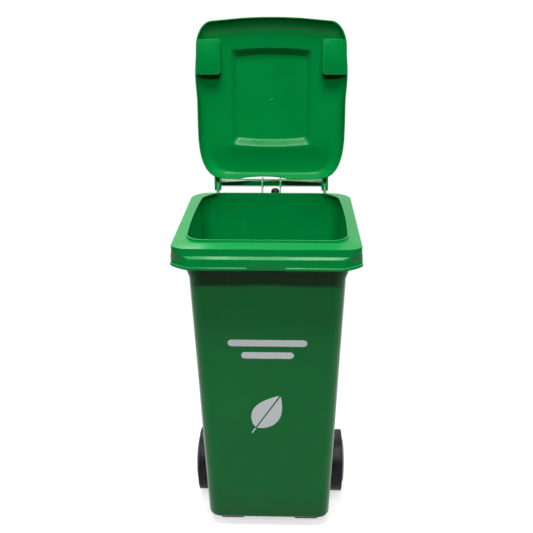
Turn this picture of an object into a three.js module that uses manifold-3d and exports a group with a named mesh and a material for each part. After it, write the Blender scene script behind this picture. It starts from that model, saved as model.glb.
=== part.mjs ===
// A two-wheeled household waste bin with its lid standing open.
// Units are millimetres, +Z is up, the front faces -Y, and +X is to the right seen from the front.
// Inside this file y = 0 is the front of the rim and z = 0 is the ground; the last lines centre the whole bin.

import * as THREE from "three";
import { mergeVertices } from "three/addons/utils/BufferGeometryUtils.js";
import Module from "manifold-3d";

const wasm = await Module();
wasm.setup();

// Fits and facets
const SEAT_GAP = 0.3; // between a piece and what carries it
const SIDE_GAP = 0.6; // beside a turning piece
const OVERRUN = 5; // how far a cutting tool runs past what it cuts
const MERGE_DISTANCE = 0.001;
const CORNER_STEPS = 5;
const SIDE_STEPS = 6;
const ROUND_STEPS = 24;
const ROUND_POWER = 2; // a corner curve of this power is round, and a lower one is flatter

// Rim
const RIM_WIDTH = 476;
const RIM_DEPTH = 488;
const RIM_HEIGHT = 935.5; // outer edge of the deck over the ground
const RIM_TAPER = 6; // what each side loses towards the rear
const RIM_REAR_CORNER = 55;
const LOWER_CORNER_WIDTH = 52;
const LOWER_CORNER_LENGTH = 40;
const LOWER_CORNER_POWER = 1.15;
const UPPER_CORNER_WIDTH = 34;
const UPPER_CORNER_LENGTH = 26;
const UPPER_CORNER_POWER = 1.5;
const SKIRT_HEIGHT = 52.5;
const SKIRT_WALL = 4;
const SKIRT_REAR_DRAFT = 2;
const DECK_WALL = 5;
const DECK_FALL = 3.5; // from its outer edge to the foot of the lip
const BEAD_HEIGHT = 6;
const BEAD_STEP = 2.5;
const BEAD_SIDE_STEP = 3.5;
const LEDGE_BELOW_DECK = 19.5;
const LEDGE_HEIGHT = 5;
const LEDGE_STEP = 8;
const RIM_CHAMFER = 1.5;

// Lip round the opening, given by the deck's width outside it
const LIP_HEIGHT = 7;
const LIP_WALL = 4;
const LIP_SIDE_BORDER = 27;
const LIP_FRONT = 66;
const LIP_REAR_BORDER = 10;
const LIP_CORNER = 44;
const LIP_REAR_CORNER = 66;
const LIP_TAPER = 7;
const LIP_BOW = 8; // how far its sides come in at both ends

// Tub: a collar under the deck, a shoulder below it and a taper to the base
const WALL = 4;
const FLOOR_WALL = 5;
const BASE_HEIGHT = 29; // underside of the floor over the ground
const BASE_CORNER = 34;
const BASE_FILLET = 12;
const COLLAR_BELOW_DECK = 95.5;
const COLLAR_SIDE_BORDER = 24.5;
const COLLAR_CORNER = 50;
const COLLAR_REAR_BORDER = 7;
const SHOULDER_BELOW_DECK = 112.5;
const SHOULDER_SIDE_STEP = 11.5;
const SHOULDER_FRONT = 79;
const SHOULDER_CORNER = 40;
const SIDE_TAPER = 25;
const FRONT_TAPER = 80;
const RECESS_REAR_BORDER = 36;
const RECESS_DEPTH = 114; // room for the axle behind the foot of the tub
const RECESS_OVER_AXLE = 45;
const RECESS_RISE = 122;
const RECESS_STEPS = 5;

// Gussets under the front of the rim
const GUSSET_SPREAD = 193;
const GUSSET_WALL = 3;
const GUSSET_TIP_BELOW_DECK = 111.5;
const GUSSET_WAIST = 16; // how far it stands off the collar at the skirt's lower edge

// Feet at the front
const FOOT_SPREAD = 220;
const FOOT_WIDTH = 70;
const FOOT_DEPTH = 60;
const FOOT_SETBACK = 43; // behind the front of the base
const FOOT_TAPER = 6;

// Hinge of the lid
const AXIS_BEHIND_RIM = 22;
const AXIS_OVER_DECK = 14.5;
const OPEN_ANGLE = 94.4; // from closed to the rest pose, in degrees
const PIN_RADIUS = 4;
const PIN_HEAD_SIDE = 4; // round the shank
const PIN_HEAD_WALL = 2.5;
const PIN_PROUD = 2; // inside the inner cheek
const ARM_SPREAD = 333; // over the outer cheeks
const ARM_BOSS_WALL = 8;
const ARM_WIDTH = 18.5;
const ARM_ROOT = 45; // how far an arm runs onto the lid's rear corner
const CHEEK_WALL = 5;
const EAR_BOSS_WALL = 7.5;
const EAR_BOSS_SHARE = 0.95; // of a half turn
const EAR_FOOT_HEIGHT = 39.5;

// Webs behind the rim, and the shelf and rubber dome between them
const WEB_SPREAD = 53;
const WEB_WALL = 4.5;
const WEB_BOSS_WALL = 5;
const WEB_TOP_OVER_AXIS = 16;
const SHELF_DEPTH = 26;
const SHELF_BELOW_DECK = 9;
const SHELF_WALL = 5;
const BUFFER_X = 11.6;
const BUFFER_RADIUS = 12;
const BUFFER_HEIGHT = 19.5;
const BUFFER_SIDE_SHARE = 0.5; // upright part of its height
const BUFFER_RINGS = 5;
const BUFFER_BEHIND_RIM = 13;

// Grip bar
const BAR_BEHIND_AXIS = 37;
const BAR_OVER_DECK = 3.5;
const BAR_DEPTH = 21;
const BAR_FRONT_HEIGHT = 10.5; // at its ends
const BAR_REAR_HEIGHT = 17.5;
const BAR_ARCH = 7; // more at the front edge in the middle
const BAR_ROUND = 4;
const BAR_STATIONS = 8;
const BAR_CORNER_STEPS = 2;
const RIB_PITCH = 6;
const RIB_WALL = 2.4;
const RIB_DROP = 2.5;
const RIB_INSET = 2;

// Lid, given as it lies closed
const LID_SEAT_GAP = 1; // between the lid's free edge and the deck
const LID_SIDE_BORDER = 26.5; // of deck outside it
const LID_FRONT = 31;
const LID_FRONT_BOW = 10;
const LID_REAR_BORDER = 1;
const LID_FRONT_CORNER_WIDTH = 45;
const LID_FRONT_CORNER_LENGTH = 80;
const LID_FRONT_CORNER_POWER = 1.9;
const LID_REAR_CORNER_WIDTH = 85;
const LID_REAR_CORNER_LENGTH = 160;
const LID_REAR_CORNER_POWER = 2.8;
const LID_WALL = 3;
const LID_DEPTH = 33.5; // free edge to the top of the plate
const LID_CROWN = 8.5; // what the plate falls at its front edge
const LID_CREST = 229; // from the front edge to where the fall starts
const LID_CROWN_REACH = 185;
const LID_REAR_LIFT = 9;
const LID_SHOULDER_SIDE = 26;
const LID_SHOULDER_FRONT = 44;
const LID_SHOULDER_REAR = 11;
const LID_SHOULDER_STEPS = 5;
const LID_SIDE_STEPS = 10;
const LID_EDGE_STEPS = 3;
const SWELL = 4; // of the sides beside the pockets
const SWELL_FRONT_BORDER = 79;
const SWELL_LENGTH = 160;
const PANEL_SIDE_BORDER = 94.5;
const PANEL_FRONT_BORDER = 87;
const PANEL_REAR_BORDER = 88;
const PANEL_BOW = 5;
const PANEL_RISE = 10;
const PANEL_SIDE_BEVEL = 18.7;
const PANEL_FRONT_BEVEL = 22.4;
const PANEL_REAR_BEVEL = 26;
const PANEL_CORNER = 8;
const POCKET_WIDTH = 67.5;
const POCKET_FRONT_BORDER = 60.5;
const POCKET_LENGTH = 96.5;
const POCKET_DEPTH = 27.5;
const POCKET_CORNER = 7;
const POCKET_DRAFT = 2;
const ARCH_X = -22;
const ARCH_HALF_WIDTH = 68;
const ARCH_HEIGHT = 27;
const ARM_TOP_WALL = 4;
const ARM_TOP_END = 10; // ahead of the axis

// Wheels and axle
const AXLE_BEHIND_FOOT = 36;
const AXLE_RADIUS = 10;
const WHEEL_RADIUS = 95;
const TYRE_WIDTH = 36;
const TYRE_WALL = 20;
const TYRE_SHOULDER = 4;
const TREAD_DEPTH = 3;
const TREAD_BLOCKS = 24;
const TREAD_GROOVE = 6;
const TREAD_GROOVE_DEPTH = 4;
const BRACKET_PROUD = 0.5; // outside the base
const BRACKET_WIDTH = 24;
const BRACKET_WALL = 8; // round the bush
const BRACKET_SPAN = 80; // height where it meets the tub
const INNER_BRACKET_SPREAD = 130;
const INNER_BRACKET_WALL = 8;
const BUSH_WALL = 3;
const BUSH_FLANGE = 4;
const BUSH_FLANGE_WALL = 2;
const SPACER_WALL = 4;
const HUB_STANDOFF = 5.5;
const HUB_BOSS_WALL = 9;
const HUB_BOSS_LENGTH = 33;
const HUB_RIM_WALL = 6.5;
const HUB_RIM_INSET = 2;
const HUB_WEB_WALL = 6;
const NUT_FLANGE = 5;
const NUT_WALL = 2;
const AXLE_PROUD = 3.5; // beyond the hub
const COVER_BORDER = 1.5; // inside the tyre's seat
const COVER_PROUD = 6.6; // beyond the tyre
const COVER_WALL = 3;
const COVER_FACE_SHARE = 0.2;
const COVER_SPIGOT_LENGTH = 6;

// Values that follow from the driving dimensions
const RIM_HALF = RIM_WIDTH / 2;
const LIP_HALF = RIM_HALF - LIP_SIDE_BORDER;
const LIP_REAR = RIM_DEPTH - LIP_REAR_BORDER;
const LIP_FOOT_Z = RIM_HEIGHT - DECK_FALL;
const COLLAR_HALF = RIM_HALF - COLLAR_SIDE_BORDER;
const COLLAR_REAR = RIM_DEPTH - COLLAR_REAR_BORDER;
const SHOULDER_HALF = COLLAR_HALF - SHOULDER_SIDE_STEP;
const BASE_HALF = SHOULDER_HALF - SIDE_TAPER;
const BASE_FRONT = SHOULDER_FRONT + FRONT_TAPER;
const RECESS_REAR = RIM_DEPTH - RECESS_REAR_BORDER;
const REAR_FOOT = RECESS_REAR - RECESS_DEPTH;
const AXLE_Y = REAR_FOOT + AXLE_BEHIND_FOOT;
const AXLE_Z = WHEEL_RADIUS;
const RECESS_BOTTOM = AXLE_Z + RECESS_OVER_AXLE;
const RECESS_TOP = RECESS_BOTTOM + RECESS_RISE;
const SHOULDER_Z = RIM_HEIGHT - SHOULDER_BELOW_DECK;
const COLLAR_Z = RIM_HEIGHT - COLLAR_BELOW_DECK;
const SKIRT_BOTTOM = RIM_HEIGHT - SKIRT_HEIGHT;

const LID_HALF = RIM_HALF - LID_SIDE_BORDER;
const LID_REAR = RIM_DEPTH - LID_REAR_BORDER;
const LID_EDGE_Z = RIM_HEIGHT + LID_SEAT_GAP;
const LID_TOP_Z = LID_EDGE_Z + LID_DEPTH;
const PANEL_HALF = LID_HALF - PANEL_SIDE_BORDER;
const PANEL_FRONT = LID_FRONT + PANEL_FRONT_BORDER;
const PANEL_REAR = LID_REAR - PANEL_REAR_BORDER;
const POCKET_INNER = LID_HALF - POCKET_WIDTH;
const POCKET_FRONT = LID_FRONT + POCKET_FRONT_BORDER;
const POCKET_REAR = POCKET_FRONT + POCKET_LENGTH;
const SWELL_FRONT = LID_FRONT + SWELL_FRONT_BORDER;

const AXIS_Y = RIM_DEPTH + AXIS_BEHIND_RIM;
const AXIS_Z = RIM_HEIGHT + AXIS_OVER_DECK;
const PIN_BORE = PIN_RADIUS + SEAT_GAP;
const PIN_HEAD_RADIUS = PIN_RADIUS + PIN_HEAD_SIDE;
const ARM_OUTER_X = ARM_SPREAD / 2;
const OUTER_CHEEK_X = ARM_OUTER_X - CHEEK_WALL;
const INNER_CHEEK_X = ARM_OUTER_X - ARM_WIDTH;
const EAR_INNER_X = INNER_CHEEK_X + CHEEK_WALL + SIDE_GAP;
const EAR_OUTER_X = OUTER_CHEEK_X - SIDE_GAP;
const PIN_SEAT_X = ARM_OUTER_X - PIN_HEAD_WALL;
const ARM_BOSS_RADIUS = PIN_RADIUS + ARM_BOSS_WALL;
const EAR_BOSS_RADIUS = PIN_RADIUS + EAR_BOSS_WALL;
const BAR_FRONT = AXIS_Y + BAR_BEHIND_AXIS;
const BAR_REAR = BAR_FRONT + BAR_DEPTH;
const BAR_BOTTOM = RIM_HEIGHT + BAR_OVER_DECK;

const BRACKET_OUTER_X = BASE_HALF + BRACKET_PROUD;
const BUSH_RADIUS = AXLE_RADIUS + BUSH_WALL;
const BRACKET_RADIUS = BUSH_RADIUS + BRACKET_WALL;
const HUB_INNER_X = BRACKET_OUTER_X + HUB_STANDOFF;
const HUB_OUTER_X = HUB_INNER_X + HUB_BOSS_LENGTH;
const TYRE_INNER_X = HUB_INNER_X + HUB_RIM_INSET;
const TYRE_OUTER_X = TYRE_INNER_X + TYRE_WIDTH;
const TYRE_SEAT_RADIUS = WHEEL_RADIUS - TYRE_WALL;
const HUB_RIM_RADIUS = TYRE_SEAT_RADIUS - SEAT_GAP;
const HUB_RIM_BORE = HUB_RIM_RADIUS - HUB_RIM_WALL;
const HUB_BOSS_RADIUS = AXLE_RADIUS + HUB_BOSS_WALL;
const AXLE_BORE = AXLE_RADIUS + SEAT_GAP;
const AXLE_HALF = HUB_OUTER_X + AXLE_PROUD;
const COVER_RADIUS = TYRE_SEAT_RADIUS - COVER_BORDER;

const mix = THREE.MathUtils.lerp;
const share = (value, low, high) => (value - low) / (high - low);
const smooth = (t) => t * t * (3 - 2 * t);

// Solids
function solidFrom(geometry) {
  const bare = geometry.clone();
  bare.deleteAttribute("normal");
  bare.deleteAttribute("uv");
  const merged = mergeVertices(bare, MERGE_DISTANCE);
  const corners = [...merged.index.array];
  const triVerts = [];
  for (let i = 0; i < corners.length; i += 3) {
    const [a, b, c] = corners.slice(i, i + 3);
    if (a !== b && b !== c && c !== a) triVerts.push(a, b, c);
  }
  const mesh = new wasm.Mesh({
    numProp: 3,
    vertProperties: merged.attributes.position.array,
    triVerts: new Uint32Array(triVerts),
  });
  return new wasm.Manifold(mesh);
}

function geometryFrom(solid) {
  const mesh = solid.getMesh();
  const geometry = new THREE.BufferGeometry();
  geometry.setAttribute("position", new THREE.BufferAttribute(mesh.vertProperties, 3));
  geometry.setIndex(new THREE.BufferAttribute(mesh.triVerts, 1));
  geometry.computeVertexNormals();
  return geometry;
}

const joined = (solids) => solids.reduce((whole, piece) => whole.add(piece));
const cut = (whole, tools) => tools.reduce((rest, tool) => rest.subtract(tool), whole);

// A closed skin over rings of equal length. Each ring runs anticlockwise seen from the end of the stack.
function loft(rings) {
  const count = rings[0].length;
  const positions = rings.flat().flatMap((p) => [p.x, p.y, p.z]);
  const index = [];
  for (let r = 0; r < rings.length - 1; r += 1) {
    for (let i = 0; i < count; i += 1) {
      const a = r * count + i;
      const b = r * count + ((i + 1) % count);
      index.push(a, b, b + count, a, b + count, a + count);
    }
  }
  const last = (rings.length - 1) * count;
  for (let i = 1; i < count - 1; i += 1) {
    index.push(0, i + 1, i);
    index.push(last, last + i, last + i + 1);
  }
  const geometry = new THREE.BufferGeometry();
  geometry.setAttribute("position", new THREE.Float32BufferAttribute(positions, 3));
  geometry.setIndex(index);
  return solidFrom(geometry);
}

// Outline of a rectangle with round corners, anticlockwise, as pairs.
function roundedOutline(left, right, low, high, radius, steps = CORNER_STEPS) {
  const centres = [
    [right - radius, low + radius, -Math.PI / 2],
    [right - radius, high - radius, 0],
    [left + radius, high - radius, Math.PI / 2],
    [left + radius, low + radius, Math.PI],
  ];
  return centres.flatMap(([a, b, start]) =>
    Array.from({ length: steps + 1 }, (_, i) => {
      const angle = start + (i / steps) * (Math.PI / 2);
      return [a + radius * Math.cos(angle), b + radius * Math.sin(angle)];
    }),
  );
}

const even = (count) => Array.from({ length: count }, (_, i) => i / count);

// Distances in from the side and from the end, round one corner that starts at the side.
function cornerOffsets({ width, length, power }, bow) {
  return [...even(CORNER_STEPS), 1].map((turn) => {
    const angle = (turn * Math.PI) / 2;
    const across = width * (1 - Math.cos(angle) ** (2 / power));
    return [across, bow + (length - bow) * (1 - Math.sin(angle) ** (2 / power))];
  });
}

const roundCorner = (radius) => ({ width: radius, length: radius, power: ROUND_POWER });

// Level ring round the bin's middle plane. Its sides can taper and bow, and so can its front and rear edges.
function levelRing(ring) {
  const { half, front, rear, z, frontCorner, rearCorner } = ring;
  const { taper = 0, bow = 0, frontBow = 0, rearBow = 0, sideSteps = SIDE_STEPS, edgeSteps = 0 } = ring;
  const ahead = cornerOffsets(frontCorner, frontBow).map(([dx, dy]) => [half - dx, front + dy]);
  const behind = cornerOffsets(rearCorner, rearBow).map(([dx, dy]) => [half - dx, rear - dy]);
  const sides = even(sideSteps).slice(1);
  const beside = sides.map((t) => [half, mix(ahead[0][1], behind[0][1], t)]);
  const edge = (corner, end, towards, curve) =>
    even(edgeSteps).map((t) => [(half - corner.width) * t, end + towards * curve * t * t]);
  const right = [
    ...edge(frontCorner, front, 1, frontBow),
    ...ahead.reverse(),
    ...beside,
    ...behind,
    ...edge(rearCorner, rear, -1, rearBow).reverse(),
  ];
  const left = right.filter(([x]) => x > 0).reverse();
  return [...right, ...left.map(([x, y]) => [-x, y])].map(([x, y]) => {
    const along = share(y, front, rear);
    const narrowed = half - taper * along - bow * (2 * along - 1) ** 2;
    return new THREE.Vector3((x * narrowed) / half, y, z);
  });
}

function placed(geometry, xAxis, yAxis, zAxis, x, y, z) {
  const matrix = new THREE.Matrix4().makeBasis(xAxis, yAxis, zAxis).setPosition(x, y, z);
  return solidFrom(geometry.clone().applyMatrix4(matrix));
}

const X = new THREE.Vector3(1, 0, 0);
const Y = new THREE.Vector3(0, 1, 0);
const Z = new THREE.Vector3(0, 0, 1);

// Upright plate: an outline in y and z, given a thickness towards +X.
function sidePlate(shape, x, thickness) {
  const geometry = new THREE.ExtrudeGeometry(shape, {
    depth: thickness,
    bevelEnabled: false,
    curveSegments: ROUND_STEPS / 4,
  });
  return placed(geometry, Y, Z, X, x, 0, 0);
}

function shapeOf(points) {
  return new THREE.Shape(points.map(([a, b]) => new THREE.Vector2(a, b)));
}

function box(x0, x1, y0, y1, z0, z1) {
  const geometry = new THREE.BoxGeometry(x1 - x0, y1 - y0, z1 - z0);
  geometry.translate((x0 + x1) / 2, (y0 + y1) / 2, (z0 + z1) / 2);
  return solidFrom(geometry);
}

function barX(radius, x0, x1, y, z, steps = ROUND_STEPS) {
  const geometry = new THREE.CylinderGeometry(radius, radius, x1 - x0, steps);
  return placed(geometry, Y.clone().negate(), X, Z, (x0 + x1) / 2, y, z);
}

// Turned piece about an axis along X: pairs of radius and x, anticlockwise with x to the top.
function turnedX(profile, y, z, side = 1, steps = ROUND_STEPS) {
  const points = profile.map(([radius, x]) => new THREE.Vector2(radius, x));
  const closed = profile[0][0] === 0 ? points : [...points, points[0]];
  const geometry = new THREE.LatheGeometry(closed, steps);
  const toX = X.clone().multiplyScalar(side);
  const across = Y.clone().multiplyScalar(-side);
  return placed(geometry, across, toX, Z, 0, y, z);
}

const mirrored = (solid) => solid.mirror([1, 0, 0]);

// Tub
const tubFront = (z) => mix(BASE_FRONT, SHOULDER_FRONT, share(z, BASE_HEIGHT, SHOULDER_Z));

function tubRear(z) {
  if (z >= RECESS_TOP) return mix(RECESS_REAR, COLLAR_REAR, share(z, RECESS_TOP, RIM_HEIGHT));
  if (z <= RECESS_BOTTOM) return REAR_FOOT;
  return mix(REAR_FOOT, RECESS_REAR, smooth(share(z, RECESS_BOTTOM, RECESS_TOP)));
}

function tubSection(z, inset) {
  const up = share(z, BASE_HEIGHT, SHOULDER_Z);
  const corner = roundCorner(mix(BASE_CORNER, SHOULDER_CORNER, up) - Math.min(inset, WALL));
  return {
    half: mix(BASE_HALF, SHOULDER_HALF, up) - inset,
    front: tubFront(z) + inset,
    rear: tubRear(z) - inset,
    frontCorner: corner,
    rearCorner: corner,
    z,
  };
}

function collarSection(z, inset) {
  return {
    half: COLLAR_HALF - inset,
    front: tubFront(z) + inset,
    rear: tubRear(z) - inset,
    frontCorner: roundCorner(COLLAR_CORNER - inset),
    rearCorner: roundCorner(COLLAR_CORNER - inset),
    taper: LIP_TAPER / 2,
    bow: LIP_BOW / 2,
    z,
  };
}

// Level of each station of the tub's wall from the bottom fillet to the shoulder, with its inset.
function tubStations(bottom, inset) {
  const filletShares = [0, 0.5, 1];
  const fillet = filletShares.map((turn) => {
    const angle = (turn * Math.PI) / 2;
    return [bottom + BASE_FILLET * (1 - Math.cos(angle)), inset + BASE_FILLET * (1 - Math.sin(angle))];
  });
  const recess = Array.from({ length: RECESS_STEPS + 1 }, (_, i) => [
    mix(RECESS_BOTTOM, RECESS_TOP, i / RECESS_STEPS),
    inset,
  ]);
  const upright = [[SHOULDER_Z, inset]];
  return [...fillet, ...recess, ...upright].map(([z, in_]) => tubSection(z, in_));
}

// Outside of the skirt from its lower edge to the edge of the deck.
function skirtStations() {
  const deckEdge = RIM_HEIGHT - RIM_CHAMFER;
  const ledgeTop = RIM_HEIGHT - LEDGE_BELOW_DECK;
  const ledgeLow = ledgeTop - LEDGE_HEIGHT;
  const lower = { width: LOWER_CORNER_WIDTH, length: LOWER_CORNER_LENGTH, power: LOWER_CORNER_POWER };
  const upper = { width: UPPER_CORNER_WIDTH, length: UPPER_CORNER_LENGTH, power: UPPER_CORNER_POWER };
  const upperFront = BEAD_STEP + LEDGE_STEP;
  const stations = [
    [SKIRT_BOTTOM, 0, 0, lower],
    [SKIRT_BOTTOM + BEAD_HEIGHT, 0, 0, lower],
    [SKIRT_BOTTOM + BEAD_HEIGHT + RIM_CHAMFER, BEAD_STEP, BEAD_SIDE_STEP, lower],
    [ledgeLow, BEAD_STEP, BEAD_SIDE_STEP, lower],
    [ledgeTop, upperFront, BEAD_SIDE_STEP, upper],
    [deckEdge, upperFront, BEAD_SIDE_STEP, upper],
    [RIM_HEIGHT, upperFront + RIM_CHAMFER, BEAD_SIDE_STEP + RIM_CHAMFER, upper],
  ];
  return stations.map(([z, front, side, frontCorner]) => {
    const up = share(z, SKIRT_BOTTOM, RIM_HEIGHT);
    const chamfer = z === RIM_HEIGHT ? RIM_CHAMFER : 0;
    return {
      half: RIM_HALF - side,
      front,
      rear: RIM_DEPTH + SKIRT_REAR_DRAFT * (1 - up) - chamfer,
      frontCorner,
      rearCorner: roundCorner(RIM_REAR_CORNER),
      taper: RIM_TAPER,
      z,
    };
  });
}

function makeTub() {
  const underDeck = RIM_HEIGHT - DECK_WALL * 2;
  const skirt = skirtStations();
  const inside = (section, z) => ({
    ...section,
    half: section.half - SKIRT_WALL,
    front: section.front + SKIRT_WALL,
    rear: section.rear - SKIRT_WALL,
    z,
  });
  const lip = (z, inset) => ({
    half: LIP_HALF - inset,
    front: LIP_FRONT + inset,
    rear: LIP_REAR - inset,
    frontCorner: roundCorner(LIP_CORNER - inset),
    rearCorner: roundCorner(LIP_REAR_CORNER - inset),
    taper: LIP_TAPER,
    bow: LIP_BOW,
    z,
  });
  const outside = [...tubStations(BASE_HEIGHT, 0), collarSection(COLLAR_Z, 0), collarSection(underDeck, 0)];
  const channel = [inside(skirt[skirt.length - 2], underDeck), inside(skirt[0], SKIRT_BOTTOM)];
  const mouth = [
    lip(LIP_FOOT_Z, 0),
    lip(LIP_FOOT_Z + LIP_HEIGHT, RIM_CHAMFER / 2),
    lip(LIP_FOOT_Z + LIP_HEIGHT, LIP_WALL),
  ];
  const hollow = [collarSection(underDeck, WALL)];
  const downwards = tubStations(BASE_HEIGHT + FLOOR_WALL, WALL).reverse();
  return loft([...outside, ...channel, ...skirt, ...mouth, ...hollow, ...downwards].map(levelRing));
}

function makeGusset(x) {
  const tip = RIM_HEIGHT - GUSSET_TIP_BELOW_DECK;
  const top = RIM_HEIGHT - DECK_WALL;
  const ledgeTop = RIM_HEIGHT - LEDGE_BELOW_DECK;
  const front = SKIRT_WALL / 2 + BEAD_STEP;
  const outline = shapeOf([
    [front + LEDGE_STEP, top],
    [front + LEDGE_STEP, ledgeTop],
    [front, ledgeTop - LEDGE_HEIGHT],
    [front, SKIRT_BOTTOM + BEAD_HEIGHT * 2],
    [tubFront(SKIRT_BOTTOM) - GUSSET_WAIST, SKIRT_BOTTOM],
    [tubFront(tip) - GUSSET_WALL, tip],
    [tubFront(tip) + WALL / 2, tip],
    [tubFront(top) + WALL / 2, top],
  ]);
  return sidePlate(outline, x - GUSSET_WALL / 2, GUSSET_WALL);
}

function makeFoot(side) {
  const middle = (side * FOOT_SPREAD) / 2;
  const front = BASE_FRONT + FOOT_SETBACK;
  const ring = (z, grow) =>
    roundedOutline(
      middle - FOOT_WIDTH / 2 - grow,
      middle + FOOT_WIDTH / 2 + grow,
      front - grow,
      front + FOOT_DEPTH + grow,
      FOOT_TAPER + grow,
    ).map(([x, y]) => new THREE.Vector3(x, y, z));
  return loft([ring(0, 0), ring(BASE_HEIGHT + FLOOR_WALL / 2, FOOT_TAPER)]);
}

// Ear that holds the pin, with the upright shoulder behind it that the open lid leans on.
function makeEar() {
  const lean = THREE.MathUtils.degToRad(OPEN_ANGLE - 90);
  const stop = LID_TOP_Z - AXIS_Z + SEAT_GAP;
  const onStop = (along, off) => [
    AXIS_Y + along * Math.sin(lean) + (stop + off) * Math.cos(lean),
    AXIS_Z + along * Math.cos(lean) - (stop + off) * Math.sin(lean),
  ];
  const footRear = COLLAR_REAR - WALL / 2;
  const outline = new THREE.Shape();
  outline.moveTo(footRear, RIM_HEIGHT - EAR_FOOT_HEIGHT);
  outline.lineTo(BAR_FRONT + BAR_DEPTH / 2, BAR_BOTTOM);
  outline.lineTo(BAR_FRONT + BAR_DEPTH / 2, BAR_BOTTOM + BAR_FRONT_HEIGHT);
  outline.lineTo(...onStop(ARM_TOP_END * 2, ARM_TOP_WALL * 2));
  outline.lineTo(...onStop(ARM_TOP_END * 2, 0));
  outline.lineTo(...onStop(ARM_TOP_END / 2, 0));
  outline.absarc(AXIS_Y, AXIS_Z, EAR_BOSS_RADIUS, 0, Math.PI * EAR_BOSS_SHARE, false);
  outline.lineTo(RIM_DEPTH + RIM_CHAMFER, RIM_HEIGHT - RIM_CHAMFER / 2);
  outline.lineTo(footRear, RIM_HEIGHT - RIM_CHAMFER / 2);
  return sidePlate(outline, EAR_INNER_X, EAR_OUTER_X - EAR_INNER_X);
}

function makeWeb(x) {
  const footRear = COLLAR_REAR - WALL / 2;
  const boss = PIN_RADIUS + WEB_BOSS_WALL;
  const top = AXIS_Z + WEB_TOP_OVER_AXIS;
  const outline = new THREE.Shape();
  outline.moveTo(footRear, RIM_HEIGHT - EAR_FOOT_HEIGHT);
  outline.lineTo(BAR_FRONT + BAR_DEPTH / 2, BAR_BOTTOM);
  outline.lineTo(BAR_FRONT + BAR_DEPTH / 2, BAR_BOTTOM + BAR_FRONT_HEIGHT);
  outline.lineTo(BAR_FRONT, top);
  outline.lineTo(BAR_FRONT - boss, top);
  outline.absarc(AXIS_Y, AXIS_Z, boss, Math.PI / 2, Math.PI, false);
  outline.lineTo(RIM_DEPTH, RIM_HEIGHT - RIM_CHAMFER);
  outline.lineTo(footRear, RIM_HEIGHT - RIM_CHAMFER);
  return sidePlate(outline, x - WEB_WALL / 2, WEB_WALL);
}

// Shelf behind the rim, between the webs, that carries the rubber dome.
function makeShelf() {
  const half = WEB_SPREAD / 2;
  const top = RIM_HEIGHT - SHELF_BELOW_DECK;
  return box(-half, half, COLLAR_REAR - WALL / 2, RIM_DEPTH + SHELF_DEPTH, top - SHELF_WALL, top);
}

// Grip bar: sections across X. Its front edge arches up to the height of its rear edge.
function makeBar() {
  const half = EAR_INNER_X + WALL / 2;
  const rings = [...even(BAR_STATIONS), 1].map((t) => {
    const x = mix(-half, half, t);
    const frontTop = BAR_BOTTOM + BAR_FRONT_HEIGHT + BAR_ARCH * (1 - (x / half) ** 2);
    const rearTop = Math.max(BAR_BOTTOM + BAR_REAR_HEIGHT, frontTop);
    const outline = roundedOutline(BAR_FRONT, BAR_REAR, BAR_BOTTOM, rearTop, BAR_ROUND, BAR_CORNER_STEPS);
    return outline.map(([y, z]) => {
      const isUpper = z > BAR_BOTTOM + BAR_ROUND * 2;
      const fall = isUpper ? (rearTop - frontTop) * share(y, BAR_REAR, BAR_FRONT) : 0;
      return new THREE.Vector3(x, y, z - fall);
    });
  });
  const ribs = [];
  const reach = EAR_INNER_X - RIB_PITCH;
  const ribFront = BAR_FRONT + RIB_INSET;
  const ribRear = BAR_REAR - RIB_INSET;
  for (let x = 0; x <= reach; x += RIB_PITCH) {
    for (const place of x === 0 ? [0] : [-x, x]) {
      const left = place - RIB_WALL / 2;
      const right = place + RIB_WALL / 2;
      ribs.push(box(left, right, ribFront, ribRear, BAR_BOTTOM - RIB_DROP, BAR_BOTTOM + BAR_ROUND));
    }
  }
  return joined([loft(rings), ...ribs]);
}

// Plate that carries the axle behind the tub.
function makeBracket(x, width) {
  const wallRear = REAR_FOOT - WALL / 2;
  const outline = new THREE.Shape();
  outline.moveTo(wallRear, AXLE_Z - BRACKET_SPAN / 2);
  outline.lineTo(AXLE_Y, AXLE_Z - BRACKET_RADIUS);
  outline.absarc(AXLE_Y, AXLE_Z, BRACKET_RADIUS, -Math.PI / 2, Math.PI / 2, false);
  outline.lineTo(wallRear, AXLE_Z + BRACKET_SPAN / 2);
  return sidePlate(outline, x, width);
}

function makeBody() {
  const ear = makeEar();
  const brackets = [makeBracket(BRACKET_OUTER_X - BRACKET_WIDTH, BRACKET_WIDTH)];
  brackets.push(makeBracket((INNER_BRACKET_SPREAD - INNER_BRACKET_WALL) / 2, INNER_BRACKET_WALL));
  const solid = joined([
    makeTub(),
    ...[-1, 1].map((side) => makeGusset((side * GUSSET_SPREAD) / 2)),
    ...[-1, 1].map(makeFoot),
    ear,
    mirrored(ear),
    ...[-1, 1].map((side) => makeWeb((side * WEB_SPREAD) / 2)),
    makeShelf(),
    makeBar(),
    ...brackets,
    ...brackets.map(mirrored),
  ]);
  const bushBottom = BRACKET_OUTER_X - BRACKET_WIDTH - OVERRUN;
  const bushBore = barX(BUSH_RADIUS + SEAT_GAP, bushBottom, RIM_HALF, AXLE_Y, AXLE_Z);
  return cut(solid, [
    barX(PIN_BORE, -RIM_HALF, RIM_HALF, AXIS_Y, AXIS_Z),
    barX(AXLE_BORE, -RIM_HALF, RIM_HALF, AXLE_Y, AXLE_Z),
    bushBore,
    mirrored(bushBore),
  ]);
}

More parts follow.
